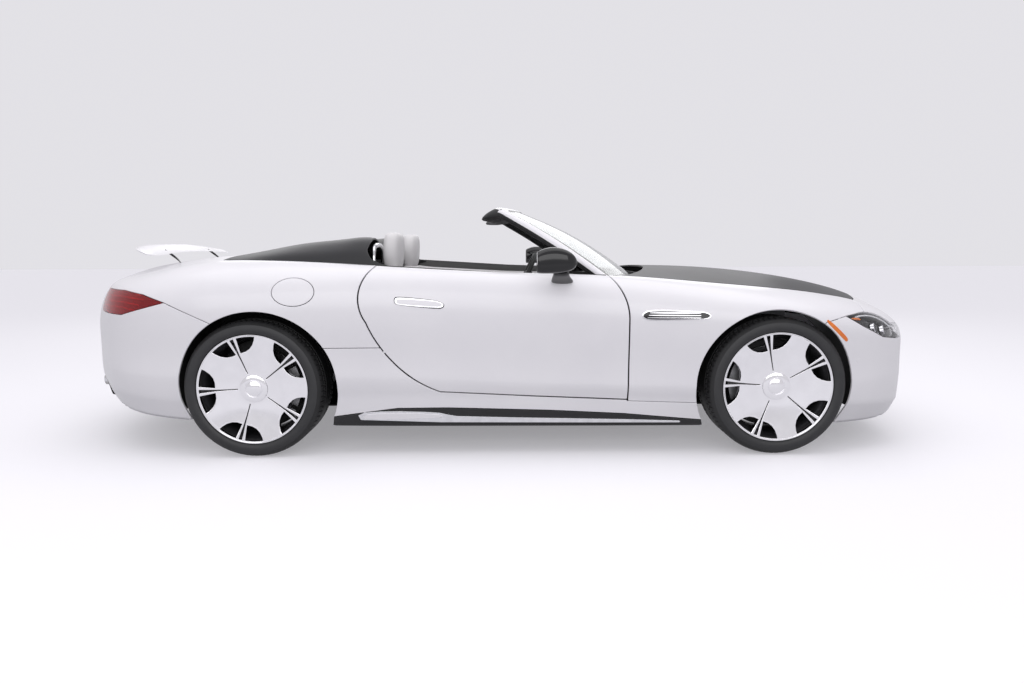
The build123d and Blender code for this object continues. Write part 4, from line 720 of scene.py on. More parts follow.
# rear: quarter, lid, lamp and bumper seams
cover_side = top([(-612, 772), (-800, 765), (-1200, 742), (-1400, 700), (-1464, 645)])
lid_side = top([(-1471, 645), (-1800, 620), (-1960, 596)])
tail_top = side([(-1660, 806), (-1780, 845), (-1905, 862)])
tail_rear_top = tail_view([(last_mm(tail_top, 1), 863), (760, 863), (600, 863)])
tail_inner = tail_view([(600, 863), (600, 742)])
tail_low = tail_view([(600, 742), (850, 739)])
tail_low_side = side([(last_mm(tail_low, 0), 739), (-1850, 758), (-1660, 806)])
lid_rear_side = np.linspace(lid_side[-1], tail_rear_top[-1], 14)
lid_tail = tail_view([(600, 863), (596, 800)])
lid_low = tail_view([(596, 800), (560, 792), (0, 790)])
tail_u = np.linspace(U_TAIL, U_TAIL + 0.8, 400)
lid_low[-1] = (np.interp(0.790, body_point(tail_u, np.zeros(400))[:, 2], tail_u), 0)
quarter_edges = [
    (belt[-1:], SHUT), (cover_side, SHUT), (lid_side, SHUT), (lid_rear_side, SHUT),
    (tail_rear_top[::-1], FIXED),
    (tail_top[::-1], FIXED), (side([(-1660, 806), (-1425, 700)]), FIXED),
    (arch_run(REAR_ARCH, 121.7, 32.2), FIXED), (quarter_low[::-1], FIXED), (door_rear[waist:], SHUT),
]
lid_front = top([(-1471, 645), (-1474, 400), (-1474, 0)])
lid_front[-1] = (u_at(-1474), 0)
lid_edges = [
    (lid_side, SHUT), (lid_rear_side, SHUT), (lid_tail, SHUT), (lid_low, SHUT),
    (middle_run(lid_low[-1], lid_front[-1]), None), (lid_front[::-1], SHUT),
]
flap = on_body("side", [
    (-1008 + 105 * math.cos(a), 857 + 70 * math.sin(a)) for a in np.linspace(0, math.tau, 72, endpoint=False)
])

# the bumpers, with the openings of grille, intake and diffuser


def on_middle(u, z, t_low, t_high, n):
    """The (u, t) at a height z, in millimetres, on the middle line of the nose or tail."""
    t = np.linspace(t_low, t_high, n)
    return (u, float(np.interp(-z / 1000, -body_point(np.full(n, u), t)[:, 2], t)))


def on_nose(z):
    return on_middle(U_NOSE, z, 0, 1.8, 400)


def on_tail(z):
    return on_middle(U_TAIL, z, 0.8, 1.4, 300)


def opening(points):
    """An opening's outline in the nose, drawn from the middle line and back to it."""
    return np.vstack(([on_nose(points[0][1])], nose_view(points)[1:], [on_nose(points[-1][1])]))


grille_run = opening([(0, 408), (345, 408), (392, 436), (408, 560), (375, 592), (12, 598)])
intake_run = opening([(0, 262), (500, 270), (548, 292), (560, 340), (530, 366), (12, 372)])
chin_run = low_run(1797, 2250)
chin_end = np.stack((np.linspace(chin_run[-1][0], U_NOSE, 30)[1:], np.linspace(1.655, 1.62, 29)), -1)
chin_run = np.vstack((chin_run, chin_end))
front_bumper_edges = [
    (bonnet_nose[::-1], SHUT), (wing_tip, FIXED), (lamp_top[split:], FIXED), (lamp_front_top, FIXED),
    (lamp_inner, FIXED),
    (lamp_low, FIXED), (lamp_low_side, FIXED), (bumper_seam, FIXED),
    (arch_run(FRONT_ARCH, front_arch_start, -29.7), FIXED),
    (chin_run, FIXED), (middle_run((U_NOSE, 1.62), on_nose(262)), None), (intake_run, FIXED),
    (middle_run(on_nose(372), on_nose(408)), None), (grille_run, FIXED),
    (middle_run(on_nose(598), bonnet_nose[-1]), None),
]
tail_chin = low_run(-1584, -2040)
diffuser_edge = np.vstack((tail_view([(640, 300), (612, 350), (300, 410), (12, 436)]), [on_tail(436)]))
rear_bumper_edges = [
    (lid_low[::-1], SHUT), (tail_view([(596, 800), (600, 742)]), FIXED), (tail_low, FIXED),
    (tail_low_side, FIXED),
    (side([(-1660, 806), (-1425, 700)]), FIXED), (arch_run(REAR_ARCH, 121.7, 203), FIXED), (tail_chin, FIXED),
    (diffuser_edge, FIXED), (middle_run(on_tail(436), lid_low[-1]), None),
]
headlamp_edges = [(lamp_top, FIXED), (lamp_front_top, FIXED), (lamp_inner, FIXED), (lamp_low, FIXED),
                  (lamp_low_side, FIXED)]
tail_lamp_edges = [(tail_top, FIXED), (tail_rear_top, FIXED), (tail_inner, FIXED), (tail_low, FIXED),
                   (tail_low_side, FIXED)]

# ---- outer panels ------------------------------------------------------------
# Each panel is one pressing with a rolled edge, painted satin white; the bonnet is satin black.
for name, node, body, paint, edges, sides in (
    ("bonnet_skin", "bonnet", "bonnet", black_paint, bonnet_edges, "both"),
    ("boot_lid_skin", "boot_lid", "boot_lid", white_paint, lid_edges, "both"),
    ("front_wing_skins", "front_wings", "root", white_paint, wing_edges, "both"),
    ("door_left_skin", "door_left", "door_left", white_paint, door_edges, "left"),
    ("door_right_skin", "door_right", "door_right", white_paint, door_edges, "right"),
    ("sill_skins", "sill_panels", "root", white_paint, sill_edges, "both"),
    ("sill_insert_skins", "sill_inserts", "root", gloss_black, insert_edges, "both"),
    ("front_bumper_skin", "front_bumper", "root", white_paint, front_bumper_edges, "both"),
    ("rear_bumper_skin", "rear_bumper", "root", white_paint, rear_bumper_edges, "both"),
):
    # the doors' skins are thin where the hinge pins stand behind them
    thin = ((0.54, 0.39), (0.64, 0.80)) if node.startswith("door") else None
    skin = build_panel(name, paint, panel_mesh(edges, thin=thin), sides)
    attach(skin, body)
    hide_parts(node)
left_quarter = build_panel("rear_quarter_left_skin", white_paint, panel_mesh(quarter_edges), "left")
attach(left_quarter, "root")
right_quarter = build_panel("rear_quarter_right_skin", white_paint,
                            panel_mesh(quarter_edges, holes=[[(flap, 2.0)]]), "right")
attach(right_quarter, "root")
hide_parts("rear_quarters")
flap_skin = build_panel("fuel_flap_skin", white_paint,
                        panel_mesh([(flap, 0.8)], wall=0.005, roll=0.002, step=0.012), "right")
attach(flap_skin, "fuel_flap")
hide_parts("fuel_flap")

# ---- wheels ------------------------------------------------------------------
# Low tyres on forged rims with a dished, polished face: five wide lobes between pairs of windows, each
# pair split by a slim grooved spoke. Everything is drawn about an axle at the origin, left side out.
WHEEL_Z = 0.358


def picked(piece):
    """Make a piece the only one selected."""
    bpy.ops.object.select_all(action="DESELECT")
    bpy.context.view_layer.objects.active = piece
    piece.select_set(True)


def smooth_by_angle(degrees):
    bpy.ops.object.shade_smooth_by_angle(angle=math.radians(degrees), keep_sharp_edges=False)


def raw_piece(name, points, edges, faces, material):
    """A piece from plain points, edges and faces, open for editing with everything selected."""
    mesh = bpy.data.meshes.new(name)
    mesh.from_pydata([tuple(map(float, p)) for p in points], edges, [tuple(int(i) for i in f) for f in faces])
    mesh.materials.append(material)
    piece = placed(name, mesh)
    picked(piece)
    bpy.ops.object.mode_set(mode="EDIT")
    bpy.ops.mesh.select_all(action="SELECT")
    return piece


def closed_piece(piece, smooth_angle):
    """Turn the faces outward and leave editing."""
    bpy.ops.mesh.normals_make_consistent(inside=False)
    bpy.ops.object.mode_set(mode="OBJECT")
    smooth_by_angle(smooth_angle)
    return piece


def add_mesh(name, points, faces, material, smooth_angle=35):
    return closed_piece(raw_piece(name, points, [], faces, material), smooth_angle)


def turned(name, profile, material, steps=96, center=(0, 0, 0), smooth_angle=35):
    """A piece turned on the wheel's axle from a closed profile of (radius, y)."""
    n = len(profile)
    points = [(center[0] + r, y, center[2]) for r, y in profile]
    piece = raw_piece(name, points, [(i, (i + 1) % n) for i in range(n)], [], material)
    bpy.ops.mesh.spin(steps=steps, angle=math.tau, center=center, axis=(0, 1, 0))
    bpy.ops.mesh.select_all(action="SELECT")
    bpy.ops.mesh.remove_doubles(threshold=0.00005)
    return closed_piece(piece, smooth_angle)


def rounded(points, times=3, closed=True):
    """Corners cut over and over, so that an outline runs soft."""
    for _ in range(times):
        out = []
        n = len(points)
        for i in range(n if closed else n - 1):
            p, q = points[i], points[(i + 1) % n]
            out += [(w * p[0] + (1 - w) * q[0], w * p[1] + (1 - w) * q[1]) for w in (0.75, 0.25)]
        points = out if closed else [points[0]] + out + [points[-1]]
    return points


def plate(name, outline, holes, height, wall, roll, material, step):
    """A dished plate facing +y: outline and holes are loops of (x, z), height gives y, edges are rolled."""
    loops = [np.array(loop) for loop in (outline, *holes)]
    for k, loop in enumerate(loops):
        area = np.sum(loop[:, 0] * np.roll(loop[:, 1], -1) - np.roll(loop[:, 0], -1) * loop[:, 1])
        if (area > 0) != (k == 0):
            loops[k] = loop[::-1]
    low, high = loops[0].min(0), loops[0].max(0)
    lines = np.arange(low[0], high[0], step), np.arange(low[1], high[1], step)
    grid = np.stack(np.meshgrid(*lines, indexing="ij"), -1).reshape(-1, 2)
    grid = clear_of(grid[between(grid, loops)], loops, 0.4 * step)
    uv, triangles, index_of = filled(loops, grid, 1e-8)
    y = height(uv[:, 0], uv[:, 1])
    count = len(uv)
    front = np.stack((uv[:, 0], y, uv[:, 1]), -1)
    back = front - (0, wall, 0)
    points, faces, total, at = [front, back], [], 2 * count, 0
    for loop in loops:
        size = len(loop)
        after = unit(np.roll(loop, -1, 0) - loop)
        tangent = unit(after + np.roll(after, 1, 0))
        outward = np.stack((tangent[:, 1], -tangent[:, 0]), -1)
        ids = [[index_of[at + i] for i in range(size)]]
        base_y = y[ids[0]]
        for angle in (0.5, 1.0, math.pi / 2):
            ring = loop + outward * roll * math.sin(angle)
            points.append(np.stack((ring[:, 0], base_y - roll * (1 - math.cos(angle)), ring[:, 1]), -1))
            ids.append([total + i for i in range(size)])
            total += size
        for i, target in enumerate(count + j for j in ids[0]):
            ring = loop[i] + outward[i] * roll
            back[target - count] = (ring[0], base_y[i] - wall, ring[1])
        ids.append([count + i for i in ids[0]])
        for i in range(size):
            j = (i + 1) % size
            faces += [(ids[k][i], ids[k][j], ids[k + 1][j], ids[k + 1][i]) for k in range(len(ids) - 1)]
        at += size
    faces += [tuple(t) for t in triangles] + [tuple(count + i for i in t[::-1]) for t in triangles]
    return add_mesh(name, np.vstack(points), faces, material)


rubber = finish("tyre rubber", 0.62, 12, (0.012, 0.012, 0.013), (0.022, 0.022, 0.023), 0.0002, 500,
                (0.55, 0.75))
sidewall_rubber = finish("tyre sidewall rubber", 0.5, 15, (0.016, 0.016, 0.018), (0.024, 0.024, 0.026),
                         0.0001, 700, (0.42, 0.55))
polished = finish("polished alloy", 0.17, 14, (0.62, 0.61, 0.64), (0.72, 0.71, 0.74), 0.00002, 1500,
                  (0.15, 0.24), metallic=1.0)
mirror_alloy = finish("mirror polished alloy", 0.09, 14, (0.90, 0.89, 0.91), (0.95, 0.94, 0.96), 0.00001,
                      1500, (0.07, 0.13), metallic=1.0)
barrel_metal = finish("dark rim barrel", 0.35, 10, (0.05, 0.05, 0.055), (0.09, 0.09, 0.095), 0, 0,
                      (0.3, 0.45), metallic=0.8)
disc_metal = finish("brake disc steel", 0.3, 40, (0.14, 0.14, 0.15), (0.22, 0.22, 0.23), 0, 0, (0.22, 0.4),
                    metallic=1.0)

GROOVES, GROOVE_FLOOR, TREAD_RADIUS = (0.878, 0.846, 0.752, 0.720), 0.3515, 0.3578
TREAD_STEPS, BLOCK_STEPS, CROSS_DEPTH = 480, 6, 0.0052
groove_profile = []
for middle in GROOVES:
    groove_profile += [
        (TREAD_RADIUS, middle + 0.0045), (GROOVE_FLOOR, middle + 0.0035),
        (GROOVE_FLOOR, middle - 0.0035), (TREAD_RADIUS, middle - 0.0045),
    ]
tyre = turned("tyre", [
    (0.2685, 0.898), (0.276, 0.912), (0.283, 0.919), (0.2872, 0.9265), (0.289, 0.9318), (0.296, 0.9362),
    (0.308, 0.938),
    (0.322, 0.9376), (0.334, 0.9345), (0.3355, 0.9325), (0.344, 0.926), (0.350, 0.918), (0.3545, 0.908),
    (0.3572, 0.897),
    *groove_profile,
    (0.3572, 0.701), (0.350, 0.680), (0.334, 0.6735), (0.308, 0.673), (0.280, 0.680), (0.2685, 0.691),
], rubber, steps=TREAD_STEPS)
# cross grooves part the ribs into blocks, each rib's set a little further round; the middle rib runs through
for vertex in tyre.data.vertices:
    x, y, z = vertex.co
    radius = math.hypot(x, z)
    step_round = round(math.atan2(z, x) / math.tau * TREAD_STEPS)
    rib = sum(y < groove for groove in GROOVES)
    if radius > GROOVE_FLOOR + 0.0001 and rib != 2 and (step_round + 2 * rib) % BLOCK_STEPS == 0:
        vertex.co = (x * (1 - CROSS_DEPTH / radius), y, z * (1 - CROSS_DEPTH / radius))
smooth_by_angle(30)
tyre.data.materials.append(sidewall_rubber)
for face in tyre.data.polygons:
    radius = math.hypot(face.center.x, face.center.z)
    if 0.288 < radius < 0.3345 and face.center.y > 0.93:
        face.material_index = 1
rim_barrel = turned("rim_barrel", [
    (0.2675, 0.895), (0.2675, 0.690), (0.2725, 0.684), (0.2725, 0.680), (0.262, 0.680), (0.250, 0.700),
    (0.246, 0.760),
    (0.249, 0.860), (0.262, 0.886), (0.2735, 0.900), (0.2765, 0.916), (0.2775, 0.9265), (0.2800, 0.9292),
    (0.2835, 0.9290),
    (0.2852, 0.9265), (0.2840, 0.9225), (0.2790, 0.912),
], mirror_alloy, steps=120)
rim_barrel.data.materials.append(barrel_metal)
for face in rim_barrel.data.polygons:
    if face.center.y < 0.915 and math.hypot(face.center.x, face.center.z) < 0.2755:
        face.material_index = 1
SPOKE_TURN = 31   # degrees to the first slim spoke


def turn(x, z, degrees):
    """A point turned round the axle."""
    c, s = math.cos(math.radians(degrees)), math.sin(math.radians(degrees))
    return (x * c - z * s, x * s + z * c)


def window(side):
    """One window: near edge parallel to the slim spoke, far edge slanting, the inner end rounded."""
    edge = [(0.2745 * math.cos(a), 0.2745 * math.sin(a)) for a in np.linspace(0.086, 0.441, 7)]
    corners = [*edge, (0.2325, 0.1075), (0.2115, 0.0880), (0.1975, 0.0650), (0.1915, 0.0400),
               (0.1925, 0.0112)]
    fine = []
    for p, q in zip(corners, corners[1:] + corners[:1]):
        fine += [(p[0] * (1 - w) + q[0] * w, p[1] * (1 - w) + q[1] * w) for w in (0, 0.12, 0.5, 0.88)]
    return rounded([(x, side * z) for x, z in fine], 1)


slot_edge = [(0.2740, 0.0106), (0.235, 0.0080), (0.195, 0.0054), (0.150, 0.0042), (0.110, 0.0036),
             (0.083, 0.0034)]
slot = slot_edge + [(0.0815, 0.0)] + [(x, -z) for x, z in slot_edge[::-1]]
holes = [
    [turn(x, z, SPOKE_TURN + 72 * k) for x, z in loop] for k in range(5)
    for loop in (window(1), window(-1), slot)
]


def dish(x, z):
    """How far out the rim's face stands, rising towards its edge."""
    r = np.hypot(x, z)
    return 0.899 + 0.0272 * np.clip((r - 0.075) / 0.203, 0, 1) ** 1.35


rim_edge = [(0.2790 * math.cos(a), 0.2790 * math.sin(a))
            for a in np.linspace(0, math.tau, 160, endpoint=False)]
rim_face = plate("rim_face", rim_edge, holes, dish, 0.026, 0.0014, mirror_alloy, 0.009)
slot_back = turned("rim_slot_back", [
    (0.070, 0.884), (0.070, 0.878), (0.250, 0.882), (0.272, 0.900), (0.272, 0.906), (0.250, 0.888),
], gloss_black, steps=144)
# only five strips of it stay, one behind each slim spoke
bm = bmesh.new()
bm.from_mesh(slot_back.data)
gone = []
for face in bm.faces:
    center = face.calc_center_median()
    angle = (math.degrees(math.atan2(center.z, center.x)) - SPOKE_TURN + 36) % 72 - 36
    if math.hypot(center.x, center.z) > 0.15 and abs(angle) > 2.6:
        gone.append(face)
bmesh.ops.delete(bm, geom=gone, context="FACES")
bm.to_mesh(slot_back.data)
bm.free()
hub_cap = turned("hub_cap", [
    (0, 0.9075), (0.036, 0.9075), (0.0395, 0.9055), (0.0405, 0.9035), (0.043, 0.9035), (0.045, 0.9055),
    (0.060, 0.9050),
    (0.0695, 0.9025), (0.0725, 0.8985), (0.0725, 0.880), (0, 0.880),
], mirror_alloy, steps=72)
brake = turned("brake_disc", [
    (0, 0.700), (0.021, 0.700), (0.021, 0.7545), (0.060, 0.7545), (0.085, 0.765), (0.110, 0.765),
    (0.194, 0.765), (0.195, 0.766),
    (0.195, 0.779), (0.190, 0.780), (0.190, 0.783), (0.195, 0.784), (0.195, 0.796), (0.194, 0.797),
    (0.112, 0.797), (0.110, 0.799),
    (0.100, 0.820), (0.098, 0.866), (0.060, 0.872), (0, 0.872),
], disc_metal, steps=96)
wheel_parts = (("tyre", tyre, True), ("rim_barrel", rim_barrel, True), ("rim_face", rim_face, False),
               ("rim_slot_back", slot_back, False), ("hub_cap", hub_cap, False), ("brake_disc", brake, False))
SIDES = (("left", 1), ("right", -1))
TYRE_OUT = 0.938   # the tyre's outer face, from the car's middle
# columns: end, axle x, how much wider, degrees the wheel is turned
for end, axle_x, widen, extra in (("front", 1.460, 1.0, 0), ("rear", -1.240, 285 / 265, 7)):
    for lateral, flip in SIDES:
        for kind, source, wide in wheel_parts:
            mesh = source.data.copy()
            if wide and widen != 1:
                out = Matrix.Translation((0, TYRE_OUT, 0))
                mesh.transform(out @ Matrix.Scale(widen, 4, (0, 1, 0)) @ out.inverted())
            mesh.transform(Matrix.Rotation(-math.radians(extra), 4, "Y"))
            mesh.transform(Matrix.Scale(flip, 4, (0, 1, 0)))
            mesh.transform(Matrix.Translation((axle_x, 0, WHEEL_Z)))
            if flip < 0:
                mesh.flip_normals()
            piece = placed(f"{kind}_{end}_{lateral}_look", mesh)
            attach(piece, f"wheel_{end}_{lateral}")
            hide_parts(f"{'tyre' if kind == 'tyre' else 'rim'}_{end}_{lateral}")
        shield = turned(f"brake_shield_{end}_{lateral}", [
            (0.050, flip * 0.742), (0.236, flip * 0.742), (0.239, flip * 0.745), (0.239, flip * 0.752),
            (0.2365, flip * 0.752),
            (0.236, flip * 0.746), (0.050, flip * 0.746),
        ], dark_plastic, steps=72, center=(axle_x, 0, WHEEL_Z))
        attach(shield, f"upright_front_{lateral}" if end == "front" else "root")
for kind, source, wide in wheel_parts:
    bpy.data.objects.remove(source)


# ---- cover over the folded roof ----------------------------------------------
# A satin black panel with two humps behind the seats. Its front slants back from the belt, and it is
# hinged at its rear edge.
def modified(piece, kind, **settings):
    """Add a modifier with its settings and apply it at once."""
    picked(piece)
    modifier = piece.modifiers.new(kind.lower(), kind)
    for key, value in settings.items():
        setattr(modifier, key, value)
    bpy.ops.object.modifier_apply(modifier=modifier.name)
    return piece


def grid_sheet(name, points, material, smooth_angle=50):
    """A sheet from a grid of points, rows by columns."""
    rows_n, cols_n = points.shape[:2]
    faces = [
        (i * cols_n + j, (i + 1) * cols_n + j, (i + 1) * cols_n + j + 1, i * cols_n + j + 1)
        for i in range(rows_n - 1) for j in range(cols_n - 1)
    ]
    return add_mesh(name, points.reshape(-1, 3), faces, material, smooth_angle)


def face_out(piece, direction):
    """Turn an open sheet so that its faces look along a direction on the whole."""
    total = sum((face.normal * face.area for face in piece.data.polygons), Vector())
    if total.dot(Vector(direction)) < 0:
        piece.data.flip_normals()
    return piece


# columns: x, half width, height at the edge, shoulder, hump and valley
cover_rows = np.array([
    (-1464, 640, 1012, 1022, 1036, 1034), (-1300, 722, 1014, 1036, 1064, 1056),
    (-1100, 745, 1006, 1046, 1100, 1068),
    (-850, 760, 994, 1046, 1126, 1066), (-690, 766, 986, 1040, 1130, 1060),
    (-520, 768, 977, 1008, 1050, 1030),
], float) / 1000


def cover_point(x, v):
    """A point of the cover: v runs across, from -1 to 1."""
    half, edge, _, hump, valley = natural_spline(cover_rows[:, 0], cover_rows[:, 1:], np.array([x]))[0]
    knots = np.array((-0.30, 0, 0.16, 0.48, 0.80, 0.94, 1.0))
    heights = np.array((valley + 0.004, valley, valley + 0.3 * (hump - valley), hump,
                        edge + 0.60 * (hump - edge),
                        edge + 0.23 * (hump - edge), edge))[:, None]
    z = natural_spline(knots, heights, np.clip(np.array([abs(v)]), 0, 1))[0, 0]
    return (x, v * half, z)


grid = []
for v in np.sin(np.linspace(-1, 1, 91) * math.pi / 2) * 0.35 + np.linspace(-1, 1, 91) * 0.65:
    a = abs(v)
    x_front = np.interp(a, (0, 0.80, 0.86, 0.93, 0.97, 1.0), (-0.690, -0.690, -0.680, -0.655, -0.60, -0.525))
    grid.append([cover_point(-1.464 + (x_front + 1.464) * s, v) for s in np.linspace(0, 1, 48)])
cover = grid_sheet("top_cover_skin", np.array(grid), black_paint)
face_out(cover, (0, 0, 1))
modified(cover, "SOLIDIFY", thickness=0.012, offset=-1)
modified(cover, "BEVEL", width=0.003, segments=3, limit_method="ANGLE", angle_limit=math.radians(50))
smooth_by_angle(40)
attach(cover, "top_cover")
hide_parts("top_cover")

# ---- windscreen --------------------------------------------------------------
# Curved laminated glass bonded into a raked frame: white painted outside, black inside, and a black
# seal along the header that the roof closes against.
def screen_point(s, v):
    """Points of the screen's outer face: s runs from foot to head, v across from side to side."""
    s, v = np.asarray(s, float), np.asarray(v, float)
    mid_x, side_x = 0.845 + s * (0.110 - 0.845), 0.600 + s * (-0.005 - 0.600)
    half = 0.765 + s * (0.545 - 0.765)
    bow = (0.012 + 0.020 * (1 - v**2)) * np.sin(np.clip(s, 0, 1) * math.pi)
    return np.stack((side_x + (mid_x - side_x) * (1 - v**2) + bow * 0.6, v * half, 0.900 + 0.400 * s + bow),
                    -1)


def screen_normal(s, v):
    """Which way the screen's outer face looks."""
    a = screen_point(np.asarray(s) + 0.01, v) - screen_point(np.asarray(s) - 0.01, v)
    b = screen_point(s, np.asarray(v) + 0.01) - screen_point(s, np.asarray(v) - 0.01)
    return unit(np.cross(b, a) * -1)


def clear_material(name, transmission, ior, patch_scale, detail, rough, color=None):
    """Glass or clear plastic with a faint unevenness in its polish; returns the pattern for its color too."""
    material = bpy.data.materials.new(name)
    material.use_nodes = True
    tree = material.node_tree
    shader = tree.nodes["Principled BSDF"]
    if color:
        shader.inputs["Base Color"].default_value = (*color, 1)
    shader.inputs["Transmission Weight"].default_value = transmission
    shader.inputs["Metallic"].default_value = 0.0
    shader.inputs["IOR"].default_value = ior
    smear, span = noise_node(tree, patch_scale, detail), tree.nodes.new("ShaderNodeMapRange")
    span.inputs["To Min"].default_value, span.inputs["To Max"].default_value = rough
    tree.links.new(smear.outputs["Fac"], span.inputs["Value"])
    tree.links.new(span.outputs["Result"], shader.inputs["Roughness"])
    return material, smear


glass, _ = clear_material("laminated glass", 1.0, 1.45, 4, 3, (0.0, 0.035), (0.93, 0.96, 0.95))
lines = np.linspace(0.0, 0.955, 40), np.linspace(-0.955, 0.955, 60)
pane = grid_sheet("windscreen_pane", screen_point(*np.meshgrid(*lines, indexing="ij")), glass, 60)
face_out(pane, (1, 0, 1))
pane.data.materials.append(gloss_black)
for face in pane.data.polygons:
    row, column = divmod(face.index, 59)
    if column < 2 or column > 56 or row > 36 or row < 2:
        face.material_index = 1
modified(pane, "SOLIDIFY", thickness=0.005, offset=-1)
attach(pane, "root")
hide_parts("windscreen_glass")


def tube_faces(rows, size, closed=False):
    """Faces round a tube of rings of a size; closed joins the last ring to the first."""
    return [
        (i * size + j, i * size + (j + 1) % size, (i + 1) % rows * size + (j + 1) % size,
         (i + 1) % rows * size + j)
        for i in range(rows if closed else rows - 1) for j in range(size)
    ]


def swept(name, path, sides, ups, sections, materials, material_of=None, closed=False):
    """A bar along a path: sections gives, at each point, a loop of (side, up) offsets."""
    points = []
    for p, b, n, section in zip(path, sides, ups, sections):
        points += [np.asarray(p) + b * x + n * y for x, y in section]
    size, count = len(sections[0]), len(path)
    faces = tube_faces(count, size, closed)
    if not closed:
        faces += [tuple(range(size))[::-1], tuple((count - 1) * size + j for j in range(size))]
    piece = add_mesh(name, points, faces, materials[0], 40)
    for material in materials[1:]:
        piece.data.materials.append(material)
    if material_of:
        limit = (count if closed else count - 1) * size
        for face in piece.data.polygons:
            if face.index < limit:
                face.material_index = material_of(face.index // size, face.index % size)
    return piece


# up one pillar, round the corner, across the header and down the other pillar
EDGE, corner = 0.965, 0.16
bend = EDGE - corner * 0.55
route = [(s, -EDGE) for s in np.linspace(-0.03, bend, 30)]
for a in np.linspace(0, math.pi / 2, 12)[1:-1]:
    route.append((bend + corner * 0.55 * math.sin(a), -EDGE + corner * (1 - math.cos(a))))
route += [(EDGE, v) for v in np.linspace(-EDGE + corner, 0, 26)]
route = np.array(route + [(s, -v) for s, v in route[-2::-1]])
path = screen_point(route[:, 0], route[:, 1])
ups = screen_normal(route[:, 0], route[:, 1])
if ups[:, 2].sum() < 0:
    ups = -ups
tangents = unit(np.gradient(path, axis=0))
sides = unit(np.cross(tangents, ups))
center_of_screen = screen_point(0.5, 0.0)
if ((path - center_of_screen) * sides).sum() < 0:
    sides = -sides
PILLAR = (
    (-0.030, -0.001), (-0.028, 0.004), (0.0, 0.006), (0.0145, 0.0035), (0.0215, -0.004), (0.024, -0.016),
    (0.021, -0.026), (0.017, -0.038), (0.0, -0.048), (-0.022, -0.044), (-0.032, -0.030), (-0.033, -0.010),
)
HEADER = (
    (-0.030, -0.001), (-0.028, 0.005), (0.005, 0.004), (0.034, -0.006), (0.052, -0.020), (0.090, -0.066),
    (0.108, -0.108), (0.100, -0.122), (0.060, -0.100), (0.010, -0.066), (-0.026, -0.034), (-0.033, -0.010),
)
sections = []
for s, v in route:
    head = np.clip((EDGE - abs(v)) / corner, 0, 1) * (1 if s > 0.6 else 0)
    head = head * head * (3 - 2 * head)
    sections.append([
        (p[0] * (1 - head) + q[0] * head, p[1] * (1 - head) + q[1] * head) for p, q in zip(PILLAR, HEADER)
    ])


def frame_finish(i, j):
    """White outside, a gloss seal at the glass, grained black towards the cabin."""
    if 1 <= j <= 3 or (j == 4 and abs(route[i][1]) > 0.93):
        return 0
    return 1 if j in (0, 11) else 2


frame_piece = swept("windscreen_frame_shell", path, sides, ups, sections,
                    (white_paint, gloss_black, dark_plastic), frame_finish)
modified(frame_piece, "SUBSURF", levels=1, render_levels=1)
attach(frame_piece, "root")
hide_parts("windscreen_frame")

# ---- door mirrors ------------------------------------------------------------
# Gloss black housings on curved feet, with the mirror glass facing back.
mirror_glass = finish("mirror glass", 0.02, 5, (0.80, 0.81, 0.82), (0.84, 0.85, 0.86), 0, 0, (0.01, 0.04),
                      metallic=1.0)


def rounded_box_loop(half_y, half_z, power=3.2, n=40):
    """A loop between an ellipse, at power 2, and a box."""
    out = []
    for a in np.linspace(0, math.tau, n, endpoint=False):
        c, s = math.cos(a), math.sin(a)
        out.append((half_y * math.copysign(abs(c) ** (2 / power), c),
                    half_z * math.copysign(abs(s) ** (2 / power), s)))
    return out


# columns: x, half width, bottom and top of the housing
layers = [(0.2170, 0.048, 0.955, 1.046), (0.2135, 0.054, 0.952, 1.051), (0.2165, 0.0585, 0.950, 1.0560),
          (0.232, 0.060, 0.9475, 1.064),
          (0.260, 0.060, 0.947, 1.074), (0.300, 0.059, 0.948, 1.078), (0.340, 0.055, 0.952, 1.071),
          (0.372, 0.048, 0.959, 1.058),
          (0.395, 0.036, 0.969, 1.040), (0.408, 0.020, 0.984, 1.020), (0.4115, 0.006, 0.997, 1.004)]
for lateral, flip in SIDES:
    points, n = [], 40
    for x, half, low, high in layers:
        points += [(x, flip * (1.004 + a), (low + high) / 2 + b) for a,
                   b in rounded_box_loop(half, (high - low) / 2)]
    faces = tube_faces(len(layers), n) + [tuple(range(n)), tuple((len(layers) - 1) * n + j for j in range(n))]
    housing = add_mesh(f"mirror_{lateral}_housing", points, faces, gloss_black, 50)
    modified(housing, "SUBSURF", levels=1, render_levels=1)
    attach(housing, f"door_{lateral}")
    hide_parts(f"mirror_{lateral}")
    pane_points = [(0.2160, flip * (1.004 + a), 1.0010 + b) for a, b in rounded_box_loop(0.046, 0.045)]
    pane_points += [(0.2185, y, z) for _, y, z in pane_points]
    pane_faces = [tuple(range(n)), tuple(n + j for j in range(n))] + tube_faces(2, n)
    reflector = add_mesh(f"mirror_{lateral}_glass", pane_points, pane_faces, mirror_glass, 30)
    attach(reflector, f"door_{lateral}")
    foot_path = np.array(((0.335, 1.000, 0.962), (0.336, 0.975, 0.944), (0.338, 0.945, 0.930),
                          (0.342, 0.915, 0.918), (0.348, 0.885, 0.906),
                          (0.352, 0.850, 0.896))) * (1, flip, 1)
    along = unit(np.gradient(foot_path, axis=0))
    forward = np.tile((1.0, 0, 0), (len(foot_path), 1))
    up_dir = unit(np.cross(along, forward)) * flip
    foot_sections = [rounded_box_loop(w, h, 2.6, 24) for w, h in (
        (0.036, 0.020), (0.040, 0.014), (0.044, 0.0115), (0.050, 0.012), (0.056, 0.014), (0.060, 0.018),
    )]
    foot = swept(f"mirror_{lateral}_foot", foot_path, forward, up_dir, foot_sections, (gloss_black,))
    modified(foot, "SUBSURF", levels=1, render_levels=1)
    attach(foot, f"door_{lateral}")

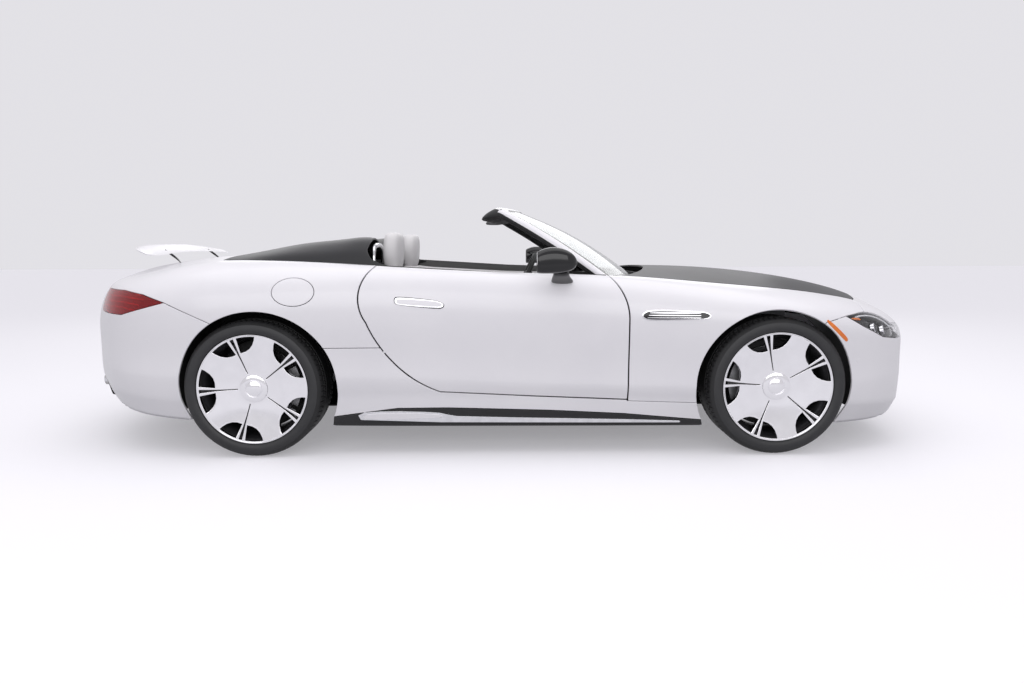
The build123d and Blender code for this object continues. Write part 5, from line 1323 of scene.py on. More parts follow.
# ---- roll hoops --------------------------------------------------------------
# A bright hoop stands behind each seat on the rear shelf.
for name, y in (("roll_hoop_left", 0.372), ("roll_hoop_right", -0.372)):
    outline = [(y - 0.150, 0.902), (y - 0.150, 1.045), (y - 0.105, 1.088), (y + 0.105, 1.088),
               (y + 0.150, 1.045), (y + 0.150, 0.902)]
    soft = rounded(outline, 3, closed=False)
    path = np.array([(-0.674, a, b) for a, b in soft])
    along = unit(np.gradient(path, axis=0))
    depth = np.tile((1.0, 0, 0), (len(path), 1))
    sections = [rounded_box_loop(0.0115, 0.0145, 2.5, 20)] * len(path)
    hoop = swept(name, path, depth, unit(np.cross(along, depth)), sections, (chrome,))
    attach(hoop, "root")
    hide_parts("roll_hoops")

# ---- leather and trim --------------------------------------------------------
# Fine-grained leather: a cell pattern for the grain, over a slightly mottled color.
def leather(name, low, high, roughness):
    """Mottled color under a grain of small cells."""
    material = finish(name, roughness, 9, low, high)
    tree = material.node_tree
    shader = tree.nodes["Principled BSDF"]
    cells = tree.nodes.new("ShaderNodeTexVoronoi")
    cells.inputs["Scale"].default_value = 420
    cells.feature = "DISTANCE_TO_EDGE"
    coords = tree.nodes.new("ShaderNodeTexCoord")
    tree.links.new(coords.outputs["Object"], cells.inputs["Vector"])
    bump = tree.nodes.new("ShaderNodeBump")
    bump.inputs["Strength"].default_value = 0.6
    bump.inputs["Distance"].default_value = 0.0006
    tree.links.new(cells.outputs["Distance"], bump.inputs["Height"])
    tree.links.new(bump.outputs["Normal"], shader.inputs["Normal"])
    return material


white_leather = leather("white leather", (0.66, 0.645, 0.655), (0.73, 0.715, 0.725), 0.48)
black_leather = leather("black leather", (0.012, 0.012, 0.012), (0.022, 0.022, 0.022), 0.5)
carpet = finish("black carpet", 0.95, 60, (0.010, 0.010, 0.011), (0.024, 0.024, 0.025), 0.002, 900,
                (0.9, 1.0))

# ---- seats -------------------------------------------------------------------
# Sports seats in white leather: a cushion with raised bolsters, a back narrowing to a joined headrest,
# on black shells.
def stuffed(name, rings, material, levels=1):
    """A soft body from a stack of closed rings of points, capped at both ends."""
    n = len(rings[0])
    points = [p for ring in rings for p in ring]
    faces = tube_faces(len(rings), n)
    for start, ring in ((0, rings[0]), ((len(rings) - 1) * n, rings[-1])):
        middle = np.mean(np.array(ring), 0)
        points.append(tuple(middle))
        faces += [(start + j, start + (j + 1) % n, len(points) - 1) for j in range(n)]
    piece = add_mesh(name, points, faces, material, 60)
    if levels:
        modified(piece, "SUBSURF", levels=levels, render_levels=levels)
    bpy.ops.object.shade_smooth()
    return piece


def pad_ring(center, width, depth, across, out, crown=0.0, power=4.0, n=36):
    """A soft rectangular ring round center: across and out are its width and depth directions."""
    ring = []
    for a, b in rounded_box_loop(0.5, 0.5, power, n):
        bulge = crown * (1 - (2 * a) ** 2) * (1 if b > 0 else 0)
        ring.append(tuple(np.asarray(center) + np.asarray(across) * a * width + np.asarray(out)
                          * (b * depth + bulge)))
    return ring


def padded(piece, node=None, body="root"):
    """Set a piece on a body; it may stand for a node, whose part is then hidden."""
    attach(piece, body)
    if node:
        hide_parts(node)


def cushioned(name, rings, node=None, body="root"):
    """A padded piece in white leather."""
    padded(stuffed(name, rings, white_leather), node, body)


def block(name, place, dims, material, bevel, segments, lean=0, smooth=None):
    """A box with rounded edges, leaning by some degrees about the car's cross axis."""
    bpy.ops.mesh.primitive_cube_add(size=1, location=(0, 0, 0))
    piece = bpy.context.object
    piece.name = name
    lean = Matrix.Rotation(math.radians(lean), 4, "Y")
    piece.data.transform(Matrix.Translation(place) @ lean @ Matrix.Diagonal((*dims, 1)))
    piece.data.materials.append(material)
    modified(piece, "BEVEL", width=bevel, segments=segments)
    if smooth:
        smooth_by_angle(smooth)
    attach(piece, "root")


FORE, ACROSS, UP = np.eye(3)
SEAT_Y = 0.372
for lateral, flip in SIDES:
    y = SEAT_Y * flip
    # rings from the back edge to the thigh roll; columns: x, z, depth, width
    cushion = stuffed(f"seat_{lateral}_cushion", [
        pad_ring((x, y, z), width, depth, ACROSS, UP, 0.010) for x, z, depth, width in (
            (-0.405, 0.385, 0.05, 0.30), (-0.40, 0.385, 0.11, 0.33), (-0.36, 0.385, 0.13, 0.345),
            (-0.25, 0.387, 0.135, 0.35),
            (-0.12, 0.395, 0.135, 0.35), (-0.02, 0.402, 0.135, 0.35), (0.06, 0.404, 0.13, 0.345),
            (0.105, 0.398, 0.115, 0.335),
            (0.130, 0.386, 0.080, 0.32), (0.135, 0.380, 0.04, 0.30),
        )
    ], white_leather)
    for flank, label in ((1, "out"), (-1, "in")):
        cushioned(f"seat_{lateral}_thigh_bolster_{label}", [
            pad_ring((x, y + flank * 0.203, z), width, depth, ACROSS, UP, 0.004, 2.8) for x, z, depth,
            width in (
                (-0.400, 0.40, 0.06, 0.05), (-0.39, 0.405, 0.15, 0.068), (-0.30, 0.415, 0.185, 0.078),
                (-0.15, 0.425, 0.195, 0.080), (0.0, 0.425, 0.185, 0.078), (0.08, 0.415, 0.165, 0.072),
                (0.115, 0.40, 0.125, 0.060), (0.128, 0.39, 0.06, 0.04),
            )
        ])
        # back bolsters follow the back's lean; columns: height, width, depth
        rings = []
        for h, width, depth in (
            (0.40, 0.05, 0.06), (0.42, 0.068, 0.13), (0.50, 0.082, 0.175), (0.62, 0.086, 0.185),
            (0.74, 0.080, 0.165),
            (0.84, 0.066, 0.13), (0.90, 0.050, 0.09), (0.92, 0.035, 0.05),
        ):
            lean = -0.40 - (h - 0.40) * 0.32
            spread = 0.205 - max(0, h - 0.70) * 0.16
            rings.append(pad_ring((lean + 0.02, y + flank * spread, h), width, depth, ACROSS, FORE, 0.004,
                                  2.8))
        cushioned(f"seat_{lateral}_back_bolster_{label}", rings)
    padded(cushion, f"seat_{lateral}")
    cushioned(f"seat_{lateral}_back_pad", [
        pad_ring((-0.415 - (h - 0.40) * 0.32, y, h), width, depth, ACROSS, FORE, 0.008) for h, width,
        depth in (
            (0.42, 0.28, 0.05), (0.43, 0.31, 0.10), (0.50, 0.33, 0.125), (0.60, 0.335, 0.13),
            (0.70, 0.33, 0.128),
            (0.80, 0.315, 0.125), (0.88, 0.29, 0.12), (0.935, 0.265, 0.11), (0.955, 0.25, 0.06),
        )
    ], f"seat_{lateral}")
    cushioned(f"seat_{lateral}_headrest", [
        pad_ring((x, y, h), width, depth, ACROSS, FORE, 0.004, 3.0) for h, width, depth, x in (
            (0.945, 0.19, 0.05, -0.588), (0.955, 0.22, 0.088, -0.588), (0.99, 0.245, 0.100, -0.588),
            (1.04, 0.262, 0.104, -0.586), (1.09, 0.258, 0.104, -0.583), (1.13, 0.236, 0.098, -0.581),
            (1.152, 0.205, 0.080, -0.580), (1.160, 0.165, 0.045, -0.580),
        )
    ], f"seat_{lateral}")
    # shells behind and below the pads
    shell = stuffed(f"seat_{lateral}_back_shell", [
        pad_ring((-0.500 - (h - 0.40) * 0.30, y, h), width, depth, ACROSS, FORE, 0.0, 5.0) for h, width,
        depth in (
            (0.20, 0.40, 0.06), (0.30, 0.44, 0.06), (0.45, 0.47, 0.06), (0.65, 0.475, 0.055),
            (0.80, 0.43, 0.05),
            (0.90, 0.33, 0.045), (0.94, 0.26, 0.03),
        )
    ], gloss_black)
    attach(shell, "root")
    base = stuffed(f"seat_{lateral}_base_shell", [
        pad_ring((x, y, (low + high) / 2), width, high - low, ACROSS, UP, 0.0, 6.0) for x, width, low,
        high in (
            (-0.46, 0.36, 0.20, 0.33), (-0.44, 0.44, 0.19, 0.345), (-0.2, 0.47, 0.19, 0.35),
            (0.05, 0.46, 0.20, 0.35),
            (0.10, 0.42, 0.24, 0.345),
        )
    ], dark_plastic)
    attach(base, "root")
    for rail, label in ((0.17, "out"), (-0.17, "in")):
        block(f"seat_{lateral}_rail_{label}", (-0.17, y + rail, 0.193), (0.52, 0.034, 0.024), dark_plastic,
              0.003, 2)

# ---- dashboard and steering wheel --------------------------------------------
# A soft black dash across the cabin with a binnacle over the dials, a light trim band and round vents.
section = [(0.760, 0.872), (0.640, 0.884), (0.520, 0.882), (0.440, 0.868), (0.395, 0.842), (0.385, 0.812),
           (0.400, 0.772),
           (0.425, 0.735), (0.435, 0.690), (0.470, 0.650), (0.560, 0.620), (0.700, 0.610), (0.760, 0.620)]
DRIVER_Y = 0.365
slices = []
for y in np.linspace(-0.695, 0.695, 60):
    hood = math.exp(-((y - DRIVER_Y) / 0.17) ** 4)
    side_fall = -0.012 * (abs(y) / 0.7) ** 4
    row = []
    for x, z in rounded(section, 2):
        over = 1 if z > 0.8 else 0
        lift = hood * 0.030 * math.exp(-((x - 0.43) / 0.09) ** 2) * over
        inward = -0.018 * hood * math.exp(-((x - 0.40) / 0.06) ** 2) * over
        row.append((x + inward, y, z + lift + side_fall))
    slices.append(row)
dash = stuffed("dashboard_shell", slices, black_leather, 0)
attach(dash, "root")
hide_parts("dashboard")
band = grid_sheet("dashboard_trim_band", np.array([
    [(0.3845 + 0.012 * abs(t) + 0.003, y, 0.790 + 0.016 * t) for t in np.linspace(-1, 1, 5)]
    for y in np.linspace(-0.66, 0.66, 40)
]), polished)
modified(band, "SOLIDIFY", thickness=0.008, offset=0)
modified(band, "BEVEL", width=0.0015, segments=2)
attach(band, "root")
VENT_RING = [(0.040, 0.0), (0.043, 0.004), (0.043, 0.012), (0.037, 0.012), (0.034, 0.004), (0.034, 0.0)]
VENT_DISC = [(0, 0.002), (0.034, 0.002), (0.034, 0.000), (0, 0.000)]
for number, (y, z) in enumerate(((-0.60, 0.835), (0.60, 0.835), (-0.10, 0.838), (0.10, 0.838))):
    for name, profile, material, steps in (
        (f"air_vent_{number}", VENT_RING, chrome, 40),
        (f"air_vent_{number}_inner", VENT_DISC, dark_plastic, 32),
    ):
        piece = turned(name, profile, material, steps)
        piece.data.transform(Matrix.Translation((0.392, y, z)) @ Matrix.Rotation(math.radians(90), 4, "Z"))
        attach(piece, "root")
# the screen in the middle of the dash and the instrument panel behind the wheel
screen_black = finish("dark display glass", 0.06, 4, (0.004, 0.004, 0.005), (0.008, 0.008, 0.010), 0, 0,
                      (0.04, 0.09))
for name, place, dims, lean in (
    ("centre_display", (0.372, 0.0, 0.735), (0.012, 0.26, 0.20), -24),
    ("dial_panel", (0.398, DRIVER_Y, 0.872), (0.010, 0.27, 0.11), -14),
):
    block(name, place, dims, screen_black, 0.004, 3, lean, 40)

# the wheel is turned about y and then set on the leaning column, facing back at the driver
wheel_place = (
    Matrix.Translation((0.190, DRIVER_Y, 0.868)) @ Matrix.Rotation(math.radians(25), 4, "Y")
    @ Matrix.Rotation(math.radians(90), 4, "Z")
)
rim_loop = [
    (0.1735 + 0.0135 * math.cos(a), 0.0135 * math.sin(a) * 1.1)
    for a in np.linspace(0, math.tau, 20, endpoint=False)
]
wheel_rim = turned("steering_wheel_rim", rim_loop, black_leather, 96, smooth_angle=80)
hub = turned("steering_wheel_hub", [
    (0, 0.018), (0.040, 0.016), (0.055, 0.008), (0.060, -0.006), (0.056, -0.030), (0.035, -0.040),
    (0, -0.040),
], black_leather, 48, smooth_angle=60)
for piece in (wheel_rim, hub):
    piece.data.transform(wheel_place)
    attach(piece, "steering_wheel")
    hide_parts("steering_wheel")


def spoke_bar(name, degrees, reach, start_y, rise, rise_over, loops, material, body):
    """A bar from the column outward in the wheel's plane; reach is its inner and outer radius."""
    n = len(loops)
    c, s = math.cos(math.radians(degrees)), math.sin(math.radians(degrees))
    path = np.array([(r * c, start_y + rise * (r / rise_over), r * s) for r in np.linspace(*reach, n)])
    bar = swept(name, path, np.tile((-s, 0, c), (n, 1)), np.tile((0.0, 1.0, 0.0), (n, 1)), loops, (material,))
    bar.data.transform(wheel_place)
    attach(bar, body)


tapered = [rounded_box_loop(0.022 - 0.008 * k / 7, 0.007, 3, 20) for k in range(8)]
for number, (degrees, material) in enumerate(((8, black_leather), (172, black_leather), (270, polished))):
    spoke_bar(f"steering_wheel_spoke_{number}", degrees, (0.045, 0.170), -0.008, 0.006, 0.17, tapered,
              material,
              "steering_wheel")
column = turned("steering_column", [(0, -0.04), (0.036, -0.04), (0.042, -0.07), (0.042, -0.24), (0, -0.24)],
                dark_plastic, 40)
column.data.transform(wheel_place)
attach(column, "root")
for name, degrees in (("wiper_stalk", 175), ("lamp_stalk", 5)):
    spoke_bar(name, degrees, (0.035, 0.135), -0.065, 0.02, 0.14,
              [rounded_box_loop(0.008, 0.005, 2.5, 14)] * 6,
              gloss_black, "root")

# ---- centre console ----------------------------------------------------------
# A broad leather console with a gloss panel on its top and a padded armrest.
console = stuffed("centre_console_shell", [
    pad_ring((x, 0, (0.22 + top_z) / 2), 2 * half, top_z - 0.22, ACROSS, UP, 0.0, 7.0, 44) for x, half,
    top_z in (
        (-0.46, 0.100, 0.50), (-0.45, 0.105, 0.555), (-0.30, 0.108, 0.568), (-0.10, 0.110, 0.560),
        (0.02, 0.112, 0.545),
        (0.15, 0.118, 0.560), (0.28, 0.125, 0.600), (0.38, 0.130, 0.660), (0.44, 0.130, 0.690),
    )
], black_leather)
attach(console, "root")
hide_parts("centre_console")
cushioned("armrest_pad", [pad_ring((x, 0, 0.572), width, depth, ACROSS, UP, 0.006, 4.0) for x, width,
                          depth in (
    (-0.435, 0.14, 0.015), (-0.43, 0.165, 0.035), (-0.38, 0.178, 0.042), (-0.24, 0.180, 0.042),
    (-0.17, 0.174, 0.040),
    (-0.155, 0.15, 0.018),
)])
grid = []
for x in np.linspace(-0.14, 0.30, 30):
    half = np.interp(x, (-0.14, 0.03, 0.16, 0.26), (0.078, 0.082, 0.090, 0.094))
    z = np.interp(x, (-0.14, 0.02, 0.15, 0.28, 0.32), (0.563, 0.549, 0.564, 0.604, 0.620)) + 0.002
    grid.append([(x, half * v, z) for v in np.linspace(-1, 1, 9)])
lid_panel = grid_sheet("console_gloss_panel", np.array(grid), gloss_black)
modified(lid_panel, "SOLIDIFY", thickness=0.006, offset=0)
modified(lid_panel, "BEVEL", width=0.0015, segments=2)
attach(lid_panel, "root")

# ---- door trims --------------------------------------------------------------
# Black trim with a white leather band and a bright strip, and a padded armrest.
def belt_height(x):
    return np.interp(x, (-0.6, 0.05, 0.6), (0.990, 0.950, 0.936))


for lateral, flip in SIDES:
    grid = []
    for x in np.linspace(-0.590, 0.585, 50):
        rear = np.clip((x + 0.60) / 0.16, 0, 1)
        low = 0.345 + 0.13 * (1 - rear) ** 2
        high = belt_height(x) - 0.004
        row = []
        for t in np.linspace(0, 1, 40):
            z = high - (high - low) * t
            y = 0.785 - 0.055 * min(1, t / 0.12) ** 0.7
            y -= 0.055 * math.exp(-((t - 0.42) / 0.085) ** 4)
            y += 0.030 * max(0, t - 0.55)
            row.append((x, flip * y, z))
        grid.append(row)
    trim = grid_sheet(f"door_{lateral}_trim", np.array(grid), black_leather)
    face_out(trim, (0, -flip, 0))
    trim.data.materials.append(white_leather)
    for face in trim.data.polygons:
        if 3 <= face.index % 39 <= 12:
            face.material_index = 1
    modified(trim, "SOLIDIFY", thickness=0.004, offset=-1)
    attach(trim, f"door_{lateral}")
    grid = [[
        (x, flip * (0.7265 - 0.002 * math.cos(t * math.pi / 2)), belt_height(x) - 0.095 + 0.016 * t)
        for t in np.linspace(-1, 1, 5)
    ] for x in np.linspace(-0.56, 0.56, 50)]
    strip = grid_sheet(f"door_{lateral}_light_band", np.array(grid), polished)
    modified(strip, "SOLIDIFY", thickness=0.005, offset=0)
    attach(strip, f"door_{lateral}")
    cushioned(f"door_{lateral}_armrest", [
        pad_ring((x, flip * 0.700, 0.700 + 0.05 * (x - 0.1)), width, depth, ACROSS, UP, 0.002, 3.5, 28)
        for x, width, depth in (
            (-0.32, 0.03, 0.02), (-0.31, 0.055, 0.045), (-0.20, 0.066, 0.055), (0.10, 0.066, 0.055),
            (0.26, 0.060, 0.050), (0.28, 0.03, 0.02),
        )
    ], body=f"door_{lateral}")


# ---- headlamps ---------------------------------------------------------------
# A clear moulded cover over a black bowl with two bright projectors, a light strip along the top and
# an amber marker at its tail.
lamp_glass, _ = clear_material("lamp cover glass", 1.0, 1.3, 12, 2, (0.0, 0.04), (0.97, 0.97, 0.98))
amber = finish("amber plastic", 0.15, 30, (0.75, 0.16, 0.01), (0.85, 0.22, 0.02), 0, 0, (0.12, 0.2),
               Coat_Weight=0.5)
bright = finish("bright reflector", 0.12, 30, (0.8, 0.8, 0.83), (0.9, 0.9, 0.92), 0, 0, (0.08, 0.16),
                metallic=1.0)
light_bar = finish("frosted light bar", 0.3, 40, (0.82, 0.83, 0.86), (0.9, 0.9, 0.92), 0, 0, (0.25, 0.4))


def lamp_shells(cover_name, cover, bowl_name, bowl, edges, wall, roll, depth, node):
    """A lamp's outer cover, and the bowl behind it at a depth."""
    for name, material, settings in (
        (cover_name, cover, {"wall": wall, "roll": roll, "step": 0.012}),
        (bowl_name, bowl, {"wall": 0.004, "roll": 0.001, "step": 0.014, "sink": depth}),
    ):
        piece = build_panel(name, material, panel_mesh(edges, **settings))
        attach(piece, "root")
        if name == cover_name:
            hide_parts(node)


lamp_shells("headlamp_covers", lamp_glass, "headlamp_bowls", gloss_black, headlamp_edges, 0.003, 0.001, 0.038,
            "headlamps")


def strip_on_body(name, outline, material, lift=0.002, wall=0.003, sides="both", step=0.01):
    """A thin plate lying on the body, drawn in side view."""
    loop = on_body("side", outline)
    data = panel_mesh([(np.vstack((loop, loop[:1])), 0.0)], wall=wall, roll=0.0008, step=step, sink=-lift)
    return build_panel(name, material, data, sides)


def on_form(run):
    """Places and normals of the body along a run of (u, t)."""
    return body_point(run[:, 0], run[:, 1]), body_normal(run[:, 0], run[:, 1])


for k, (x, z) in enumerate(((2005, 664), (2075, 648))):
    (p,), (n,) = on_form(on_body("side", [(x, z)]))
    for lateral, flip in SIDES:
        center = (p - n * 0.034) * (1, flip, 1)
        axis = Vector(n * (1, flip, 1)) + Vector((0.8, 0, 0))
        turn_to = Vector((0, 1, 0)).rotation_difference(axis.normalized()).to_matrix().to_4x4()
        for label, profile, material, smooth_angle in (
            ("lens", [(0, 0.014), (0.010, 0.0128), (0.017, 0.009), (0.0205, 0.002), (0.0205, -0.004),
                      (0, -0.004)],
             lamp_glass, 60),
            ("ring", [(0.0205, 0.004), (0.0235, 0.006), (0.0265, 0.004), (0.0265, -0.012), (0.0205, -0.012)],
             bright, 35),
            ("reflector", [(0, -0.008), (0.020, -0.008), (0.020, -0.011), (0, -0.011)], bright, 35),
        ):
            piece = turned(f"headlamp_{lateral}_{label}_{k}", profile, material, 40,
                           smooth_angle=smooth_angle)
            piece.data.transform(Matrix.Translation(center) @ turn_to)
            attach(piece, "root")


def lamp_bars(name, path, cross, normal, loop, material):
    """A light bar inside each side's lamp; name has a place for the side."""
    for lateral, flip in SIDES:
        mirror = np.array((1, flip, 1))
        bar = swept(name.format(lateral), path * mirror, cross * mirror, normal * mirror, [loop] * len(path),
                    (material,))
        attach(bar, "root")


path, n = on_form(np.vstack((lamp_top[6:], lamp_front_top[4:-6])))
path = path - n * 0.016
cross = unit(np.cross(n, unit(np.gradient(path, axis=0))))
cross *= np.sign((cross * (0, 0, -1)).sum(1))[:, None]
lamp_bars("headlamp_{}_light_strip", path + cross * 0.013, cross, n, rounded_box_loop(0.0045, 0.003, 3, 12),
          light_bar)
amber_piece = strip_on_body("headlamp_amber_markers",
                            rounded([(1830, 712), (1880, 716), (1905, 700), (1862, 704)], 1),
                            amber, -0.008, 0.004, step=0.008)
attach(amber_piece, "root")

# ---- tail lamps --------------------------------------------------------------
# Deep red covers over a stepped reflector with light strips.
red_glass, patches = clear_material("red lamp cover", 0.85, 1.45, 16, 2, (0.03, 0.09))
tree = red_glass.node_tree
ramp = tree.nodes.new("ShaderNodeValToRGB")
for stop, color in zip(ramp.color_ramp.elements, ((0.72, 0.010, 0.020, 1), (0.82, 0.016, 0.026, 1))):
    stop.color = color
tree.links.new(patches.outputs["Fac"], ramp.inputs["Fac"])
tree.links.new(ramp.outputs["Color"], tree.nodes["Principled BSDF"].inputs["Base Color"])
red_deep = finish("dark red reflector", 0.3, 60, (0.10, 0.004, 0.006), (0.16, 0.006, 0.008), 0.0006, 240,
                  (0.2, 0.4), metallic=0.4)
red_strip = finish("red light strip", 0.3, 40, (0.62, 0.03, 0.03), (0.72, 0.05, 0.05), 0, 0, (0.2, 0.35))
lamp_shells("tail_lamp_covers", red_glass, "tail_lamp_reflectors", red_deep, tail_lamp_edges, 0.004, 0.0015,
            0.022,
            "tail_lamps")
for number, drop in enumerate((20, 48, 76)):
    line = np.vstack((
        side([(-1760 - drop, 842 - drop), (-1911, 855 - drop)]),
        tail_view([(850, 855 - drop), (620, 855 - drop)])[2:],
    ))
    path, n = on_form(line)
    path = path - n * 0.010
    cross = unit(np.cross(n, unit(np.gradient(path, axis=0))))
    lamp_bars(f"tail_lamp_{{}}_strip_{number}", path, cross, n, rounded_box_loop(0.0035, 0.003, 3, 12),
              red_strip)

# ---- grille and lower intake -------------------------------------------------
# Upright chrome bars stand before a black mesh, inside a chrome surround; dark blades fill the intake.
for name, run, z_from, z_to in (("grille", grille_run, 598, 408), ("intake", intake_run, 372, 262)):
    outline = [(run, FIXED), (middle_run(on_nose(z_from), on_nose(z_to)), None)]
    backing = build_panel(f"{name}_backing", dark_plastic,
                          panel_mesh(outline, wall=0.004, roll=0.001, step=0.02, sink=0.055))
    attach(backing, "root")
    if name == "grille":
        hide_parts("grilles")


def nose_bar(name, path, n, loop, material):
    """A bar along a path on the nose."""
    along = unit(np.gradient(path, axis=0))
    bar = swept(name, path, unit(np.cross(along, n)), n, [loop] * len(path), (material,))
    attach(bar, "root")


def nose_line(points, sink):
    p, n = on_form(on_body("end", points, 1))
    return p - n * sink, n


mirror = np.array((1, -1, 1))
for number, y in enumerate(np.linspace(-375, 375, 15)):
    bow = (abs(y) / 375) ** 4
    path, n = nose_line([(max(abs(y), 1.0), z) for z in np.linspace(590 - 16 * bow, 416 + 14 * bow, 12)],
                        0.016)
    if y < 0:
        path, n = path * mirror, n * mirror
    nose_bar(f"grille_bar_{number}", path, n, rounded_box_loop(0.005, 0.009, 3, 14), chrome)
for label, run, sink, size, material in (
    ("grille_surround", grille_run, 0.003, (0.007, 0.008), chrome),
    ("intake_lip", intake_run, 0.004, (0.005, 0.007), gloss_black),
):
    p, n = on_form(run)
    full, full_n = np.vstack((p, (p * mirror)[::-1][1:-1])), np.vstack((n, (n * mirror)[::-1][1:-1]))
    along = unit(np.roll(full, -1, 0) - np.roll(full, 1, 0))
    piece = swept(label, full - full_n * sink, unit(np.cross(along, full_n)), full_n,
                  [rounded_box_loop(*size, 2.6, 14)] * len(full), (material,), closed=True)
    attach(piece, "root")
for number, z in enumerate((290, 317, 344)):
    half = 535 - abs(z - 330) * 0.6
    path, n = nose_line([(max(y, 1.0), z) for y in np.linspace(0, half, 30)], 0.022)
    path, n = np.vstack(((path * mirror)[::-1][:-1], path)), np.vstack(((n * mirror)[::-1][:-1], n))
    nose_bar(f"intake_blade_{number}", path, n, rounded_box_loop(0.004, 0.012, 3, 14), dark_plastic)

# ---- handles, vents, markers and sill blades ---------------------------------
# Flush chrome-edged door handles, slatted chrome wing vents, amber side markers and bright sill blades.
def about_middle(outline, wide, high):
    """An outline made wider and higher about its middle."""
    x0, z0 = np.mean(outline, 0)
    return [(x0 + (x - x0) * wide, z0 + (z - z0) * high) for x, z in outline]


handle = rounded([
    (-499, 822), (-480, 829), (-300, 812), (-262, 800), (-252, 788), (-262, 775), (-290, 772), (-480, 790),
    (-499, 800),
], 2)
for lateral, _ in SIDES:
    for label, outline, material, lift, wall in (
        # a gloss black plate a little larger than the chrome edge, laid on the paint, is painted shadow of
        # the gap round the flush handle
        ("handle_recess", about_middle(handle, 1.035, 1.16), gloss_black, 0.0006, 0.003),
        ("handle_edge", handle, chrome, 0.0035, 0.005),
        ("handle", about_middle(handle, 0.94, 0.72), white_paint, 0.0065, 0.006),
    ):
        piece = strip_on_body(f"door_{lateral}_{label}", outline, material, lift, wall, lateral)
        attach(piece, f"door_{lateral}")
vent = rounded([
    (750, 742), (790, 762), (1060, 752), (1096, 738), (1100, 724), (1080, 712), (1000, 708), (790, 704),
    (752, 718),
], 2)
marker = rounded([(1690, 706), (1706, 703), (1800, 620), (1812, 598), (1800, 590), (1784, 606), (1694, 688)],
                 2)
sill_blade = rounded([
    (-715, 226), (-560, 236), (-300, 228), (-245, 214), (-180, 203), (960, 178), (972, 170), (960, 164),
    (-690, 176),
], 1)
blade_face = rounded([(-690, 216), (-560, 226), (-310, 219), (-262, 208), (-300, 196), (-670, 190)], 1)
# columns: name, outline, finish, lift and thickness in metres, mesh step
trims = [
    ("wing_vent_surrounds", vent, chrome, 0.003, 0.004, 0.01),
    ("wing_vent_wells", about_middle(vent, 0.965, 0.80), gloss_black, 0.0036, 0.003, 0.01),
    *((f"wing_vent_slats_{number}", rounded([
        (778 + number * 6, z + 3), (1040, z + 1), (1052, z - 2), (1040, z - 5), (778 + number * 6, z - 3),
    ], 1), chrome, 0.0075, 0.005, 0.008) for number, z in enumerate((720, 732, 744))),
    ("side_markers", marker, amber, 0.0012, 0.003, 0.008),
    ("sill_blades", sill_blade, chrome, 0.004, 0.005, 0.012),
    ("sill_blade_faces", blade_face, white_paint, 0.007, 0.004, 0.012),
    *((f"park_sensors_{number}", circle_run(place, 11, 0, 345, 3), white_paint, 0.0006, 0.002, 0.005)
      for number, place in enumerate(((-1765, 610), (1880, 490)))),
]
for name, outline, material, lift, wall, step in trims:
    piece = strip_on_body(name, outline, material, lift, wall, step=step)
    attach(piece, "root")

# ---- number plate mount ------------------------------------------------------
# A plain black moulding at the middle of the rear bumper, where a number plate would be screwed on.
block("rear_plate_mount", (-2.3237, 0, 0.540), (0.050, 0.330, 0.116), dark_plastic, 0.006, 3, 0, 40)

# ---- rear spoiler ------------------------------------------------------------
# A broad white wing whose ends follow the tail, raised on two black arms.
stations = []
for w in np.linspace(-1, 1, 61):
    a = abs(w)
    tip = (1 - a ** 6) ** 0.5 if a < 1 else 0.0
    mid_x = -1.960 + 0.050 * a ** 2.4
    chord = 0.176 * (0.30 + 0.70 * tip)
    rise = 0.044 * (0.45 + 0.55 * tip)
    mid_z = 1.078 - 0.028 * a ** 2.4
    thick = 0.0085 * (0.45 + 0.55 * tip)
    loop = []
    for q in np.linspace(0, math.tau, 28, endpoint=False):
        along_x, lift = -0.5 * math.cos(q), math.sin(q) * (0.55 + 0.45 * math.cos(q))
        camber = 0.012 * (1 - (2 * along_x) ** 2)
        loop.append((mid_x + chord * along_x, 0.577 * w,
                     mid_z - rise * along_x + lift * thick - camber * 0.5))
    stations.append(loop)
wing = stuffed("rear_spoiler_wing", stations, white_paint, 1)
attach(wing, "rear_spoiler")
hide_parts("rear_spoiler")
for number, y in enumerate((0.300, -0.300)):
    path = np.array([(-1.842, y, 0.986), (-1.856, y, 1.006), (-1.878, y, 1.026), (-1.905, y, 1.046),
                     (-1.925, y, 1.060)])
    loops = [rounded_box_loop(0.010, half, 3, 16) for half in (0.010, 0.012, 0.014, 0.014, 0.010)]
    arm = swept(f"rear_spoiler_arm_{number}", path, np.tile((0.0, 1.0, 0.0), (5, 1)),
                np.tile((-0.5, 0, 0.866), (5, 1)),
                loops, (gloss_black,))
    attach(arm, "rear_spoiler")

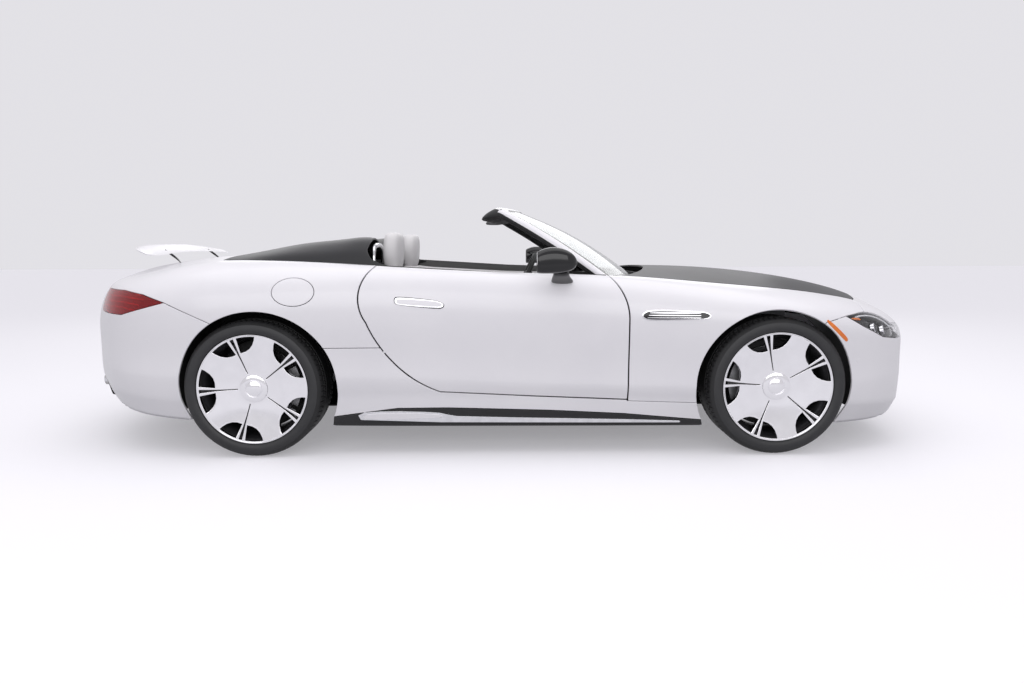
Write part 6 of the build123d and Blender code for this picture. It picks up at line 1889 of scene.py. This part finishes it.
# ---- exhaust tips ------------------------------------------------------------
# Rolled bright trims round the four pipe ends.
for number, y in enumerate((-0.453, -0.347, 0.347, 0.453)):
    half_y, half_z = 0.047, 0.032
    points = [
        (x, y + a * (1 + grow / half_y), 0.335 + b * (1 + grow / half_z))
        for x, grow in ((-2.173, 0.0), (-2.230, 0.0), (-2.2335, -0.0015), (-2.2345, -0.004),
                        (-2.2325, -0.0065), (-2.203, -0.0085))
        for a, b in rounded_box_loop(half_y, half_z, 2.8, 40)
    ]
    faces = tube_faces(6, 40) + [tuple(range(40)), tuple(range(200, 240))]
    tip = add_mesh(f"exhaust_tip_{number}", points, faces, chrome, 40)
    tip.data.materials.append(dark_plastic)
    for face in tip.data.polygons:
        if len(face.vertices) == 40:
            face.material_index = 1
    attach(tip, "root")

# ---- what the panels leave in view of the frame ------------------------------
# The pressed and cast pieces below and inside keep their solids; each gets its own surface.
steel = finish("bright stainless steel", 0.25, 20, (0.45, 0.44, 0.44), (0.58, 0.57, 0.57), 0.00005, 900,
               (0.2, 0.35), metallic=1.0)
alloy = finish("cast alloy", 0.45, 25, (0.20, 0.20, 0.21), (0.32, 0.32, 0.33), 0.0004, 400, (0.4, 0.6),
               metallic=0.9)
frame_black = finish("black coated steel", 0.5, 15, (0.015, 0.015, 0.016), (0.028, 0.028, 0.030), 0.0003, 300,
                     (0.4, 0.6))
cloth = finish("black roof cloth", 0.9, 50, (0.012, 0.012, 0.013), (0.022, 0.022, 0.023), 0.0012, 800,
               (0.85, 0.98))
for nodes, material in (
    (("floor_pan", "rear_bulkhead", "boot_tub"), carpet),
    (("firewall", "front_frame", "rear_frame"), frame_black),
    (("cowl", "undertrays", "wheel_liners", "wipers"), dark_plastic), (("exhaust",), steel),
    (("folded_roof",), cloth),
    (("engine", "rear_knuckles", "knuckle_front_left", "knuckle_front_right"), alloy),
    (("diffuser",), gloss_black),
):
    for node in nodes:
        solid = frame["nodes"][node]
        solid.data.materials.clear()
        solid.data.materials.append(material)

# ---- diffuser and exhaust pipes ----------------------------------------------
# The moulding and the pipes in it end where the rear bumper's drawn-in form does.
for node in ("diffuser", "exhaust"):
    solid = frame["nodes"][node]
    mesh = solid.data.copy()
    mesh.transform(solid.matrix_world)
    for vertex in mesh.vertices:
        vertex.co.x += float(drawn_in(vertex.co.x))
    shell = placed(f"{node}_shell", mesh)
    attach(shell, "root")
    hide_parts(node)
